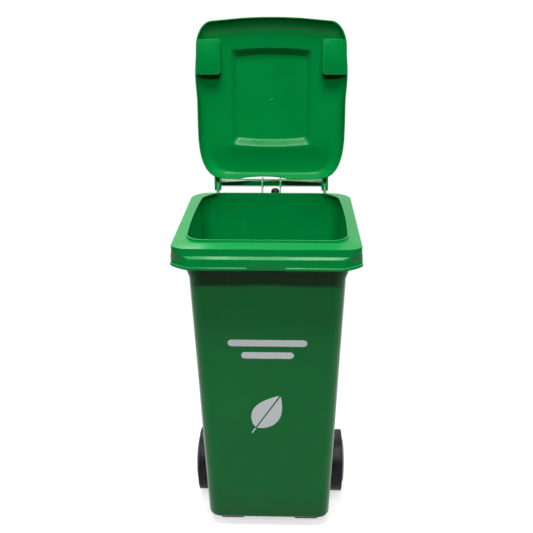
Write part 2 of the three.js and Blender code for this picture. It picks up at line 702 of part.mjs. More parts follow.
// Lid, built closed and turned open afterwards
function lidSection(up, inset) {
  const turn = (up * Math.PI) / 2;
  const inwards = 1 - Math.cos(turn);
  return {
    half: LID_HALF - LID_SHOULDER_SIDE * inwards - inset,
    front: LID_FRONT + LID_SHOULDER_FRONT * inwards + inset,
    rear: LID_REAR - LID_SHOULDER_REAR * inwards - inset,
    frontCorner: {
      width: LID_FRONT_CORNER_WIDTH,
      length: LID_FRONT_CORNER_LENGTH,
      power: LID_FRONT_CORNER_POWER,
    },
    rearCorner: {
      width: LID_REAR_CORNER_WIDTH,
      length: LID_REAR_CORNER_LENGTH,
      power: LID_REAR_CORNER_POWER,
    },
    frontBow: LID_FRONT_BOW,
    z: LID_EDGE_Z + (LID_DEPTH - inset) * Math.sin(turn),
  };
}

// Raised panel: its foot lies in the plate and its face is flat.
function panelSection(rise, drop) {
  return {
    half: PANEL_HALF - PANEL_SIDE_BEVEL * rise,
    front: PANEL_FRONT + PANEL_FRONT_BEVEL * rise,
    rear: PANEL_REAR - PANEL_REAR_BEVEL * rise,
    frontCorner: roundCorner(PANEL_CORNER),
    rearCorner: roundCorner(PANEL_CORNER),
    frontBow: PANEL_BOW,
    rearBow: PANEL_BOW,
    z: LID_TOP_Z - drop + PANEL_RISE * rise,
  };
}

// The plate falls towards the front and lifts at the rear, and the sides swell beside the pockets.
function shapedLid(point) {
  const up = Math.min(1, share(point.z, LID_EDGE_Z, LID_TOP_Z - LID_WALL));
  const ahead = Math.max(0, LID_FRONT + LID_CREST - point.y) / LID_CROWN_REACH;
  const behind = Math.max(0, share(point.y, PANEL_REAR, LID_REAR - LID_SHOULDER_REAR));
  const lift = up * (LID_REAR_LIFT * behind - LID_CROWN * ahead ** 2);
  const along = (point.y - SWELL_FRONT) / SWELL_LENGTH;
  const isBeside = along > 0 && along < 1 && Math.abs(point.x) > PANEL_HALF;
  const swell = isBeside ? SWELL * Math.sin(along * Math.PI) ** 2 * (1 - up) : 0;
  return new THREE.Vector3(point.x + Math.sign(point.x) * swell, point.y, point.z + lift);
}

function lidRing(section) {
  return levelRing({ ...section, sideSteps: LID_SIDE_STEPS, edgeSteps: LID_EDGE_STEPS });
}

// Rings of one skin of the lid from its free edge up to the face of the panel.
function lidSkin(inset) {
  const shoulder = [...even(LID_SHOULDER_STEPS), 1].map((up) => lidRing(lidSection(up, inset)));
  const rings = [...shoulder, lidRing(panelSection(0, inset))].map((ring) => ring.map(shapedLid));
  return [...rings, lidRing(panelSection(1, inset))];
}

// Pocket over one side of the lid, open outwards. With no shrink it is the block that the pocket lies in.
function pocketBlock(low, high, shrink) {
  const section = (z, grow) =>
    levelRing({
      half: (RIM_HALF - POCKET_INNER) / 2 + grow,
      front: POCKET_FRONT - grow,
      rear: POCKET_REAR + grow,
      frontCorner: roundCorner(POCKET_CORNER),
      rearCorner: roundCorner(POCKET_CORNER),
      z,
    }).map((p) => p.setX(p.x + (RIM_HALF + POCKET_INNER) / 2));
  return loft([section(low, -shrink), section(high, POCKET_DRAFT - shrink)]);
}

// One arm: two cheeks on the pin, joined over the ear by a top plate.
function makeArm() {
  const root = LID_REAR - ARM_ROOT;
  const low = AXIS_Z - ARM_BOSS_RADIUS;
  const topEnd = AXIS_Y - ARM_TOP_END;
  const outline = new THREE.Shape();
  outline.moveTo(LID_REAR - LID_SHOULDER_REAR, low);
  outline.lineTo(AXIS_Y, low);
  outline.absarc(AXIS_Y, AXIS_Z, ARM_BOSS_RADIUS, -Math.PI / 2, Math.PI / 2, false);
  outline.lineTo(topEnd, LID_TOP_Z);
  outline.lineTo(root, LID_TOP_Z);
  const inner = sidePlate(outline, INNER_CHEEK_X, CHEEK_WALL);
  const outer = sidePlate(outline, OUTER_CHEEK_X, CHEEK_WALL);
  const top = box(INNER_CHEEK_X, ARM_OUTER_X, root, topEnd, LID_TOP_Z - ARM_TOP_WALL, LID_TOP_Z);
  return joined([inner, outer, top]);
}

function makeLid() {
  const outside = loft(lidSkin(0));
  const insideRings = lidSkin(LID_WALL);
  const below = insideRings[0].map((p) => p.clone().setZ(LID_EDGE_Z - OVERRUN));
  const inside = loft([below, ...insideRings]);
  const floor = LID_TOP_Z - POCKET_DEPTH;
  const pocketWall = pocketBlock(floor - LID_WALL, LID_TOP_Z, 0).intersect(outside);
  const pocket = pocketBlock(floor, LID_TOP_Z + OVERRUN, LID_WALL);
  const arm = makeArm();
  const archShape = new THREE.Shape();
  archShape.absellipse(0, 0, ARCH_HALF_WIDTH, ARCH_HEIGHT, 0, Math.PI * 2);
  const archTool = new THREE.ExtrudeGeometry(archShape, {
    depth: LID_SHOULDER_REAR + LID_WALL + OVERRUN * 2,
    bevelEnabled: false,
    curveSegments: ROUND_STEPS / 2,
  });
  const arch = placed(archTool, X, Z, Y.clone().negate(), ARCH_X, LID_REAR + OVERRUN, LID_EDGE_Z);
  const shell = cut(joined([outside, arm, mirrored(arm)]), [inside]);
  const solid = joined([shell, pocketWall, mirrored(pocketWall)]);
  const headSeat = barX(PIN_HEAD_RADIUS + SEAT_GAP, PIN_SEAT_X - SEAT_GAP, RIM_HALF, AXIS_Y, AXIS_Z);
  return cut(solid, [
    pocket,
    mirrored(pocket),
    arch,
    barX(PIN_BORE, -RIM_HALF, RIM_HALF, AXIS_Y, AXIS_Z),
    headSeat,
    mirrored(headSeat),
  ]);
}

// Hinge pin with a flat head let into the arm's outer cheek
function makePin(side) {
  const tip = INNER_CHEEK_X - PIN_PROUD;
  const profile = [
    [0, tip],
    [PIN_RADIUS, tip],
    [PIN_RADIUS, PIN_SEAT_X],
    [PIN_HEAD_RADIUS, PIN_SEAT_X],
    [PIN_HEAD_RADIUS, ARM_OUTER_X],
    [0, ARM_OUTER_X],
  ];
  return turnedX(profile, AXIS_Y, AXIS_Z, side);
}

function makeBuffer() {
  const points = [new THREE.Vector2(0, 0), new THREE.Vector2(BUFFER_RADIUS, 0)];
  for (let i = 0; i <= BUFFER_RINGS; i += 1) {
    const turn = ((i / BUFFER_RINGS) * Math.PI) / 2;
    const radius = i === BUFFER_RINGS ? 0 : BUFFER_RADIUS * Math.cos(turn);
    points.push(new THREE.Vector2(radius, BUFFER_HEIGHT * mix(BUFFER_SIDE_SHARE, 1, Math.sin(turn))));
  }
  const geometry = new THREE.LatheGeometry(points, ROUND_STEPS / 2);
  const y = RIM_DEPTH + BUFFER_BEHIND_RIM;
  const z = RIM_HEIGHT - SHELF_BELOW_DECK + SEAT_GAP;
  return placed(geometry, X, Z, Y.clone().negate(), BUFFER_X, y, z);
}

// Wheel pieces, all on the axle's line
function makeBush(side) {
  const inner = BRACKET_OUTER_X - BRACKET_WIDTH;
  const flange = BRACKET_OUTER_X + SEAT_GAP;
  const end = flange + BUSH_FLANGE_WALL;
  const profile = [
    [AXLE_BORE, inner],
    [BUSH_RADIUS, inner],
    [BUSH_RADIUS, flange],
    [BUSH_RADIUS + BUSH_FLANGE, flange],
    [BUSH_RADIUS + BUSH_FLANGE, end],
    [AXLE_BORE, end],
  ];
  return turnedX(profile, AXLE_Y, AXLE_Z, side);
}

function makeSpacer(side) {
  const inner = BRACKET_OUTER_X + BUSH_FLANGE_WALL + SEAT_GAP * 2;
  const outer = HUB_INNER_X - SEAT_GAP;
  const radius = AXLE_RADIUS + SPACER_WALL;
  const profile = [
    [AXLE_BORE, inner],
    [radius, inner],
    [radius, outer],
    [AXLE_BORE, outer],
  ];
  return turnedX(profile, AXLE_Y, AXLE_Z, side);
}

function makeHub(side) {
  const rimInner = TYRE_INNER_X + HUB_RIM_INSET;
  const rimOuter = TYRE_OUTER_X - HUB_RIM_INSET;
  const webInner = (HUB_INNER_X + HUB_OUTER_X - HUB_WEB_WALL) / 2;
  const webOuter = webInner + HUB_WEB_WALL;
  const profile = [
    [AXLE_BORE, HUB_INNER_X],
    [HUB_BOSS_RADIUS, HUB_INNER_X],
    [HUB_BOSS_RADIUS, webInner],
    [HUB_RIM_BORE, webInner],
    [HUB_RIM_BORE, rimInner],
    [HUB_RIM_RADIUS, rimInner],
    [HUB_RIM_RADIUS, rimOuter],
    [HUB_RIM_BORE, rimOuter],
    [HUB_RIM_BORE, webOuter],
    [HUB_BOSS_RADIUS, webOuter],
    [HUB_BOSS_RADIUS, HUB_OUTER_X],
    [AXLE_BORE, HUB_OUTER_X],
  ];
  return turnedX(profile, AXLE_Y, AXLE_Z, side);
}

// Tyre: a ring whose tread rises into blocks, with a groove round the middle.
function makeTyre(side) {
  const middle = TYRE_INNER_X + TYRE_WIDTH / 2;
  const wall = WHEEL_RADIUS - TYRE_SHOULDER;
  const profile = (blockTop) => [
    [TYRE_SEAT_RADIUS, TYRE_INNER_X + HUB_RIM_INSET],
    [wall, TYRE_INNER_X],
    [blockTop, TYRE_INNER_X + TYRE_SHOULDER],
    [blockTop, middle - TREAD_GROOVE / 2],
    [WHEEL_RADIUS - TREAD_GROOVE_DEPTH, middle],
    [blockTop, middle + TREAD_GROOVE / 2],
    [blockTop, TYRE_OUTER_X - TYRE_SHOULDER],
    [wall, TYRE_OUTER_X],
    [TYRE_SEAT_RADIUS, TYRE_OUTER_X - HUB_RIM_INSET],
  ];
  const blockShares = [0, 0.1, 0.6, 0.7];
  const isTop = [false, true, true, false];
  const sections = [];
  for (let block = 0; block < TREAD_BLOCKS; block += 1) {
    blockShares.forEach((part, i) => {
      const angle = ((block + part) / TREAD_BLOCKS) * Math.PI * 2;
      const top = isTop[i] ? WHEEL_RADIUS : WHEEL_RADIUS - TREAD_DEPTH;
      sections.push(
        profile(top).map(([radius, x]) => [x * side, AXLE_Y + radius * Math.cos(angle), radius * Math.sin(angle)]),
      );
    });
  }
  const count = sections[0].length;
  const positions = sections.flat().flatMap(([x, y, z]) => [x, y, AXLE_Z + z]);
  const index = [];
  for (let s = 0; s < sections.length; s += 1) {
    for (let i = 0; i < count; i += 1) {
      const a = s * count + i;
      const b = s * count + ((i + 1) % count);
      const c = ((s + 1) % sections.length) * count + ((i + 1) % count);
      const d = ((s + 1) % sections.length) * count + i;
      if (side > 0) index.push(a, c, b, a, d, c);
      else index.push(a, b, c, a, c, d);
    }
  }
  const geometry = new THREE.BufferGeometry();
  geometry.setAttribute("position", new THREE.Float32BufferAttribute(positions, 3));
  geometry.setIndex(index);
  return solidFrom(geometry);
}

function makeNut(side) {
  const inner = HUB_OUTER_X + SEAT_GAP;
  const radius = AXLE_RADIUS + NUT_FLANGE;
  const profile = [
    [AXLE_BORE, inner],
    [radius, inner],
    [radius, inner + NUT_WALL / 2],
    [AXLE_BORE, inner + NUT_WALL],
  ];
  return turnedX(profile, AXLE_Y, AXLE_Z, side);
}

function makeCover(side) {
  const seat = TYRE_OUTER_X - HUB_RIM_INSET + SEAT_GAP;
  const face = TYRE_OUTER_X + COVER_PROUD;
  const spigot = HUB_RIM_BORE - SEAT_GAP * 2;
  const profile = [
    [0, face - COVER_WALL],
    [spigot / 2, face - COVER_WALL],
    [spigot - COVER_WALL, seat + COVER_WALL / 2],
    [spigot - COVER_WALL, seat - COVER_SPIGOT_LENGTH],
    [spigot, seat - COVER_SPIGOT_LENGTH],
    [spigot, seat],
    [COVER_RADIUS, seat],
    [COVER_RADIUS, seat + COVER_WALL],
    [mix(spigot, COVER_RADIUS, COVER_FACE_SHARE), face - COVER_WALL / 2],
    [spigot / 2, face],
    [0, face],
  ];
  return turnedX(profile, AXLE_Y, AXLE_Z, side);
}

// Materials
const finish = (color, roughness, metalness = 0) =>
  new THREE.MeshStandardMaterial({ color, roughness, metalness });
const GREEN = finish(0x0a7a3a, 0.45);
const BLACK_PLASTIC = finish(0x17171b, 0.5);
const RUBBER = finish(0x1b1a1f, 0.8);
const STEEL = finish(0x8c8f93, 0.35, 0.9);
const PALE_PLASTIC = finish(0x6a6c70, 0.5);

function node(name, solid, material) {
  const mesh = new THREE.Mesh(geometryFrom(solid), material);
  mesh.name = name;
  return mesh;
}

// Assembly
const bin = new THREE.Group();
bin.add(node("bin_body", makeBody(), GREEN));
bin.add(node("lid_buffer", makeBuffer(), RUBBER));
bin.add(node("axle", barX(AXLE_RADIUS, -AXLE_HALF, AXLE_HALF, AXLE_Y, AXLE_Z), STEEL));

const lidPivot = new THREE.Group();
lidPivot.position.set(0, AXIS_Y, AXIS_Z);
lidPivot.rotation.x = -THREE.MathUtils.degToRad(OPEN_ANGLE);
const lid = node("lid", makeLid(), GREEN);
lid.position.set(0, -AXIS_Y, -AXIS_Z);
lidPivot.add(lid);
bin.add(lidPivot);

for (const [name, side] of [
  ["left", -1],
  ["right", 1],
]) {
  bin.add(node(`${name}_hinge_pin`, makePin(side), BLACK_PLASTIC));
  bin.add(node(`${name}_axle_bush`, makeBush(side), PALE_PLASTIC));
  bin.add(node(`${name}_spacer`, makeSpacer(side), PALE_PLASTIC));
  bin.add(node(`${name}_hub`, makeHub(side), BLACK_PLASTIC));
  bin.add(node(`${name}_tyre`, makeTyre(side), RUBBER));
  bin.add(node(`${name}_push_nut`, makeNut(side), STEEL));
  bin.add(node(`${name}_wheel_cover`, makeCover(side), BLACK_PLASTIC));
}

// The origin is on the ground under the middle of the bin's box.
bin.updateMatrixWorld(true);
const extent = new THREE.Box3().setFromObject(bin, true);
bin.position.y = -(extent.min.y + extent.max.y) / 2;

const part = new THREE.Group();
part.add(bin);

export default part;
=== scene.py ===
"""Looks of a green two-wheeled waste bin with its lid open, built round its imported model.

Lengths are metres, +Z is up and the front faces -Y. Pieces are modelled with y = 0 at the front of
the rim, and are moved into the frame when they are finished.
"""

import math
from collections import namedtuple

import bmesh
import bpy
from mathutils import Matrix, Vector


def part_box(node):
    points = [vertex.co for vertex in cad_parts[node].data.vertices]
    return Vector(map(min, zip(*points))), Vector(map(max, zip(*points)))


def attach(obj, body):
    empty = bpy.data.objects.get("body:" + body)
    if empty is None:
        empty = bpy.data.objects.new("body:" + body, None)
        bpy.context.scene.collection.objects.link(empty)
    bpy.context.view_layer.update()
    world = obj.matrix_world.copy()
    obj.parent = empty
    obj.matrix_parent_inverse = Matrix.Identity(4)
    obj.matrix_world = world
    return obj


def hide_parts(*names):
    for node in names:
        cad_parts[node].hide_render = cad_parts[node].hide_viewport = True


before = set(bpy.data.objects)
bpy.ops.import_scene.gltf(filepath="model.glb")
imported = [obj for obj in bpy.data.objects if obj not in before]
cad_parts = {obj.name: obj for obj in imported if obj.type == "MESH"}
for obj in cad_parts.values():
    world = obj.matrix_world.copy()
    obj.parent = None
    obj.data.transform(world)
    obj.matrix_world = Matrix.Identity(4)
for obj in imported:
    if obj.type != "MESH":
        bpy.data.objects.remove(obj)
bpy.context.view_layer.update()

# Places taken from the frame
RIM_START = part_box("bin_body")[0].y
PIN_LOW, PIN_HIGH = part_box("right_hinge_pin")
AXLE_LOW, AXLE_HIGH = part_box("axle")
TYRE_LOW, TYRE_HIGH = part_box("right_tyre")
COVER_LOW, COVER_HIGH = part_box("right_wheel_cover")
HINGE_Y = (PIN_LOW.y + PIN_HIGH.y) / 2 - RIM_START
HINGE_Z = (PIN_LOW.z + PIN_HIGH.z) / 2
HINGE_LINE = (HINGE_Y, HINGE_Z)
AXLE_Y = (AXLE_LOW.y + AXLE_HIGH.y) / 2 - RIM_START
AXLE_Z = (AXLE_LOW.z + AXLE_HIGH.z) / 2
AXLE_LINE = (AXLE_Y, AXLE_Z)
AXLE_RADIUS = (AXLE_HIGH.z - AXLE_LOW.z) / 2
PIN_HEAD_RADIUS = (PIN_HIGH.z - PIN_LOW.z) / 2

# Camera of the photograph
IMAGE_SIZE = 533
FOCAL_PIXELS = 847.96
SENSOR_MILLIMETRES = 36.0
CAMERA_PLACE = (0.0654, -2.188554, 1.64346)
CAMERA_YAW = -1.9159
CAMERA_PITCH = 21.4394
CAMERA_ROLL = -0.2627

# Materials: mouldings, rubber and steel, and one for print
GREEN = "green_moulding"
BLACK = "black_moulding"
GREY = "grey_moulding"
RUBBER = "tyre_rubber"
STEEL = "bright_steel"
PRINT = "white_print"

# Points nearer than this are one. Edges sharper than these degrees are rounded or shaded sharp
MERGE_GAP = 1e-6
EDGE_ANGLE = 28.0
SHADE_ANGLE = 35.0
LID_EDGE_ANGLE = 50.0
LID_SHADE_ANGLE = 24.0
EDGE_SEGMENTS = 3

# Steps round circles and arcs
ARC_STEPS = 12
BOSS_STEPS = 16
TURN_STEPS = 64
PIN_STEPS = 40
AXLE_STEPS = 48
TYRE_STEPS = 160
COVER_STEPS = 96

# Rim. A corner is given by its width across X, its length along Y and the power of its curve
RIM_HALF = 0.2379
DECK_Z = 0.9355
LIP_FOOT_Z = 0.932
RIM_DEPTH = 0.488
RIM_TAPER = 0.006
LOWER_CORNER = (0.051, 0.037, 1.3)
UPPER_CORNER = (0.034, 0.026, 1.5)
REAR_CORNER = (0.055, 0.055, 2)
SKIRT_BOTTOM = 0.883
SKIRT_WALL = 0.004
SKIRT_REAR_DRAFT = 0.002
DECK_WALL = 0.005
BEAD_HEIGHT = 0.006
BEAD_STEP = 0.0025
BEAD_SIDE_STEP = 0.0015
DECK_SIDE_STEP = 0.0035
BEAD_GAP_HALF = 0.050
BEAD_GAP_EASE = 0.005
LEDGE_Z = 0.916
LEDGE_HEIGHT = 0.005
LEDGE_STEP = 0.008
EDGE_ROUND = 0.0013
LIP_Z = 0.939
LIP_WALL = 0.004
LIP_HALF = 0.211
LIP_FRONT = 0.066
LIP_REAR = 0.478
LIP_CORNER = 0.044
LIP_REAR_CORNER = 0.066
LIP_TAPER = 0.0085
LIP_BOW = 0.008

# Tub
WALL = 0.004
FLOOR_WALL = 0.005
BASE_Z = 0.029
BASE_HALF = 0.177
BASE_FRONT = 0.159
BASE_CORNER = 0.034
BASE_FILLET = 0.018
FILLET_STEPS = 5
COLLAR_Z = 0.840
COLLAR_HALF = 0.2135
COLLAR_CORNER = 0.050
SHOULDER_Z = 0.823
SHOULDER_HALF = 0.202
SHOULDER_FRONT = 0.079
TOP_REAR = 0.481
SHOULDER_CORNER = 0.040
FOOT_REAR = 0.338
RECESS_REAR = 0.452
RECESS_BOTTOM = 0.140
RECESS_TOP = 0.262
RECESS_STEPS = 10
CORNER_STEPS = 9
SIDE_STEPS = 10

# Gussets under the rim and feet under the base
GUSSET_X = 0.0965
GUSSET_WALL = 0.003
GUSSET_TIP_Z = 0.824
GUSSET_WAIST = 0.016
FOOT_X = 0.110
FOOT_WIDTH = 0.070
FOOT_DEPTH = 0.060
FOOT_FRONT = 0.202
FOOT_TAPER = 0.006

# Hinge
CHEEK_WALL = 0.005
ARM_OUTER_X = 0.1665
ARM_INNER_X = 0.148
ARM_BOSS_RADIUS = 0.013
ARM_TOP_WALL = 0.004
ARM_TOP_END = 0.010
EAR_INNER_X = 0.1536
EAR_OUTER_X = 0.1609
EAR_BOSS_RADIUS = 0.0115
EAR_BOSS_END = 171
EAR_FOOT_Z = 0.896
STOP_GAP = 0.0003
PIN_RADIUS = 0.004
PIN_HEAD_WALL = 0.0025
PIN_TIP_X = 0.146
PIN_EASE = 0.0008
WEB_X = 0.0265
WEB_WALL = 0.0045
WEB_BOSS_RADIUS = 0.009
WEB_TOP_Z = 0.966
SHELF_REAR = 0.514
SHELF_Z = 0.9265
SHELF_WALL = 0.005
DOME_X = 0.0116
DOME_Y = 0.501
DOME_RADIUS = 0.012
DOME_HEIGHT = 0.0195
DOME_UPRIGHT = 0.010
DOME_STEPS = 10

# Grip bar
BAR_FRONT = 0.547
BAR_REAR = 0.568
BAR_MIDDLE = (BAR_FRONT + BAR_REAR) / 2
BAR_Z = 0.939
BAR_FRONT_TOP = 0.9495
BAR_REAR_TOP = 0.9565
BAR_ARCH = 0.007
BAR_ROUND = 0.004
BAR_ROUND_STEPS = 5
BAR_STATIONS = 24
RIB_PITCH = 0.006
RIB_WALL = 0.0024
RIB_DROP = 0.0025
RIB_INSET = 0.002

# Lid as it lies closed
OPEN_ANGLE = 94.4
LID_HALF = 0.2115
LID_FRONT = 0.031
LID_FRONT_BOW = 0.010
LID_REAR = 0.487
LID_FRONT_CORNER = (0.045, 0.080, 1.9)
LID_REAR_CORNER = (0.085, 0.160, 2.8)
LID_WALL = 0.003
LID_EDGE_Z = 0.9365
LID_TOP_Z = 0.970
LID_CROWN = 0.0085
LID_CROWN_REACH = 0.185
LID_CREST = 0.260
LID_REAR_LIFT = 0.009
LID_REAR_HOLLOW = 2.0
PLATE_STEPS = (0.85, 0.55, 0.3, 0.1)
LID_SHOULDER_SIDE = 0.026
LID_SHOULDER_FRONT = 0.044
LID_SHOULDER_REAR = 0.011
LID_SHOULDER_STEPS = 9
PANEL_HALF = 0.117
PANEL_FRONT = 0.113
PANEL_REAR = 0.399
PANEL_BOW = 0.005
PANEL_RISE = 0.0096
PANEL_SIDE_BEVEL = 0.0187
PANEL_FRONT_BEVEL = 0.0244
PANEL_REAR_BEVEL = 0.026
PANEL_CORNER = 0.014
PANEL_EASE = 0.22
PANEL_STEPS = (0, 0.07, 0.14, 0.22, 0.5, 0.78, 0.86, 0.93, 1)
ARM_ROOT = 0.045
PAD_INNER_X = 0.144
PAD_FRONT = 0.0915
PAD_REAR = 0.188
PAD_DEPTH = 0.0275
PAD_CORNER = 0.010
PAD_DRAFT = 0.002
SWELL_FRONT = 0.110
SWELL_REAR = 0.270
SWELL = 0.004
SWELL_STEPS = 28
LID_BREAKS = 8
LID_BREAK_SHARE = 0.7
ARCH_X = -0.022
ARCH_HALF = 0.068
ARCH_HEIGHT = 0.027
ARCH_START = 0.009
ARCH_REACH = 0.033
ARCH_STEPS = 48
GATE_X = 0.0
GATE_Y = 0.264
GATE_RADIUS = 0.0042
GATE_TIP_RADIUS = 0.0014
GATE_HEIGHT = 0.003
GATE_RING = 0.009
GATE_RING_WALL = 0.0006
GATE_STEPS = 24
GATE_RING_STEPS = (48, 8)

# Wheels
BRACKET_OUTER_X = 0.1775
BRACKET_WIDTH = 0.024
BRACKET_RADIUS = 0.021
BRACKET_SPAN = 0.080
INNER_BRACKET_X = 0.061
INNER_BRACKET_WALL = 0.008
TYRE_RADIUS = 0.095
TYRE_SEAT = 0.075
TYRE_SHOULDER = 0.004
TYRE_EASE = TYRE_SHOULDER / 3
TREAD_DEPTH = 0.0024
TREAD_ROWS = 80
TREAD_COLUMNS = 6
TREAD_SHARE = 0.64
TREAD_TAPER = 0.85
AXLE_EASE_SHARE = 0.125
HUB_INNER_X = 0.183
HUB_OUTER_X = 0.216
HUB_INSET = 0.002
HUB_RADIUS = 0.0747
HUB_BORE = 0.0682
HUB_BOSS = 0.019
HUB_WEB = 0.006
AXLE_BORE = 0.0103
BUSH_RADIUS = 0.013
BUSH_FLANGE = 0.017
BUSH_FLANGE_WALL = 0.002
SPACER_RADIUS = 0.014
SEAT_GAP = 0.0003
NUT_RADIUS = 0.015
NUT_WALL = 0.002
COVER_WALL = 0.003
COVER_STEP = 0.001
COVER_RING_SHARES = (0.86, 0.78, 0.46, 0.44, 0.30, 0.28)

# Print on the front wall: two plain bars and a leaf
PRINT_WALL = 0.0003
PRINT_GAP = 0.0001
PRINT_BARS = ((0.640, 0.210), (0.602, 0.140))
PRINT_BAR_HEIGHT = 0.020
LEAF_MIDDLE = 0.418
LEAF_LENGTH = 0.124
LEAF_HALF = 0.037
LEAF_VEIN = 0.004
LEAF_LEAN = -32.0
LEAF_STEPS = 24
LEAF_TIP_POWER = 0.8
LEAF_SIDE_POWER = 0.85
STEM_LENGTH = 0.026

# Stage
FLOOR_SIZE = 40
FLOOR_COLOR = (0.93, 0.93, 0.93, 1)
UNSEEN_COLOR = (0, 0, 0, 1)
SHADOW_NEAR = 0.75
SHADOW_FAR = 1.5
FLOOR_GLOW = 0.65
FLAG_COLOR = (0.01, 0.01, 0.01, 1)
FLAG_HALF = 2.6
FLAG_FRONT = -4.4
FLAG_REAR = 0.6
FLAG_HEIGHT = 3.4
SKY_COLOR = (1, 1, 1, 1)
SKY_LEAN = (0.0, -0.42, 0.91)
SKY_STOPS = ((0.0, 0.0), (0.5, 0.0), (0.75, 0.03), (1.0, 0.40))

# Lamps: where each stands, what it faces, its width, height and power
LAMPS = {
    "key_box": ((0.1, -3.4, 3.75), (0, 0.1, 1.1), 1.5, 0.22, 92),
    "top_box": ((0, -1.75, 5.9), (0, 0, 0.6), 2.6, 1.8, 360),
    "rear_box": ((-0.8, 3.0, 4.0), (0, 0.2, 0.7), 2.4, 1.8, 150),
    "side_box_-1": ((-3.8, 0.8, 2.4), (0, 0, 0.6), 1.8, 1.8, 75),
    "side_box_1": ((3.8, 0.8, 2.4), (0, 0, 0.6), 1.8, 1.8, 75),
}

# Grain: noise by its scale and detail, the levels between which it rises, what it rises from and
# to, and how it is stretched. Edge: the radius within which sharp edges are sought, and its peak;
# on mouldings and steel these are worn edges, on rubber a painted highlight
GRAIN_SIZES = "scale detail start full low high stretch"
Grain = namedtuple("Grain", GRAIN_SIZES, defaults=[0, 1, 0, 1, (1, 1, 1)])
Edge = namedtuple("Edge", "radius peak")
EDGE_SAMPLES = 4
EDGE_TURNS = (0.985, 0.90)

# Shares of a look: each is a product of spots and sharp edges, worn on mouldings and steel and a
# painted highlight on rubber. GLOSS is the roughness of mouldings
CLOUDS = (Grain(7.0, 4.0, 0.32, 0.68, 0, 0.35),)
RUBBED = (Grain(46.0, 6.0, 0.66, 0.78, stretch=(1, 1, 0.14)), Grain(4.2, 2.0, 0.50, 0.66, 0, 0.14))
WORN = (Edge(0.0016, 1), Grain(34.0, 5.0, 0.40, 0.62, 0.10, 0.55))
GLOSS = Grain(19.0, 5.0, 0.3, 0.7)
FLOW = (Grain(9.0, 2.0),)
SPARK = (Grain(1500.0, 2.0),)
RUBBER_CLOUDS = (Grain(24.0, 5.0, 0.35, 0.7, 0, 0.6),)
RUBBER_GRAIN = (Grain(1100.0, 3.0),)
DUST = (Grain(130.0, 6.0, 0.58, 0.76, 0, 0.35),)
DULL = (Grain(70.0, 5.0, 0.35, 0.7),)
TURNING_LINES = (Grain(900.0, 2.0, stretch=(1, 0.05, 0.05)),)
THIN = (Grain(60.0, 6.0, 0.55, 0.80, 0, 0.35),)

# Look: its colour, the share and colour of each layer over it, roughness, the share, strength and
# depth in metres of each bump, and other values of the shader
Look = namedtuple("Look", "color layers gloss bumps values")
MATT = {"Specular IOR Level": 0.2}
MOULDING_BUMPS = ((FLOW, 0.25, 0.002), (RUBBED, 0.2, 0.0002), (SPARK, 0.12, 0.0001))

# Level outline: half width, front and rear edge, both corners, height, what its sides lose towards
# the rear, what they bow in at both ends, and what its front and rear edges bow in at the corners
RING_SIZES = "half front rear front_corner rear_corner z taper bow front_bow rear_bow"
Ring = namedtuple("Ring", RING_SIZES, defaults=[0, 0, 0, 0])


def mix(low, high, share):
    return low + (high - low) * share


def share_of(value, low, high):
    return (value - low) / (high - low)


def around(middle, width):
    return middle - width / 2, middle + width / 2


def rotation(degrees, axis):
    return Matrix.Rotation(math.radians(degrees), 4, axis)


def smooth(t):
    return t * t * (3 - 2 * t)


# Modelling by hand
def start_clean():
    if bpy.context.mode != "OBJECT":
        bpy.ops.object.mode_set(mode="OBJECT")
    bpy.ops.object.select_all(action="DESELECT")


def take(piece):
    """Selects this piece alone and makes it active."""
    start_clean()
    piece.select_set(True)
    bpy.context.view_layer.objects.active = piece


def name_piece(name):
    piece = bpy.context.active_object
    piece.name = name
    piece.data.name = name
    return piece


def edit(action="SELECT"):
    bpy.ops.object.mode_set(mode="EDIT")
    bpy.ops.mesh.select_mode(type="VERT")
    bpy.ops.mesh.select_all(action=action)
    return bmesh.from_edit_mesh(bpy.context.object.data)


def leave():
    bpy.ops.object.mode_set(mode="OBJECT")


def pick(choose):
    """Opens the piece and selects the vertices that the test takes, and the faces between them."""
    mesh = edit("DESELECT")
    for vertex in mesh.verts:
        vertex.select = choose(vertex.co)
    mesh.select_flush(True)
    bmesh.update_edit_mesh(bpy.context.object.data)


def shift(piece, offset):
    piece.data.transform(Matrix.Translation(offset))


def apply_modifier(piece, kind, **settings):
    take(piece)
    modifier = piece.modifiers.new(kind.title(), kind)
    for key, value in settings.items():
        setattr(modifier, key, value)
    bpy.ops.object.modifier_apply(modifier=modifier.name)


def round_edges(piece, width, segments=EDGE_SEGMENTS, angle=EDGE_ANGLE):
    apply_modifier(
        piece,
        "BEVEL",
        width=width,
        segments=segments,
        limit_method="ANGLE",
        angle_limit=math.radians(angle),
    )


def face_outwards(piece):
    take(piece)
    edit()
    bpy.ops.mesh.remove_doubles(threshold=MERGE_GAP)
    bpy.ops.mesh.normals_make_consistent(inside=False)
    leave()


def finish_piece(piece, body="bin", look=GREEN, nodes=(), angle=SHADE_ANGLE):
    """Shades the piece, moves it into the frame and hands it to its body."""
    take(piece)
    bpy.ops.object.shade_smooth_by_angle(angle=math.radians(angle))
    shift(piece, (0, RIM_START, 0))
    piece.data.materials.clear()
    piece.data.materials.append(MATERIALS[look])
    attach(piece, body)
    if nodes:
        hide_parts(*nodes)


# A tower is a plate with round corners that is pulled from outline to outline
def corner_of(size):
    """Distances in from the side and from the end, round one corner."""
    width, length, power = size
    turns = [i / CORNER_STEPS * math.pi / 2 for i in range(CORNER_STEPS + 1)]
    return [
        (width * (1 - math.cos(t) ** (2 / power)), length * (1 - math.sin(t) ** (2 / power)))
        for t in turns
    ]


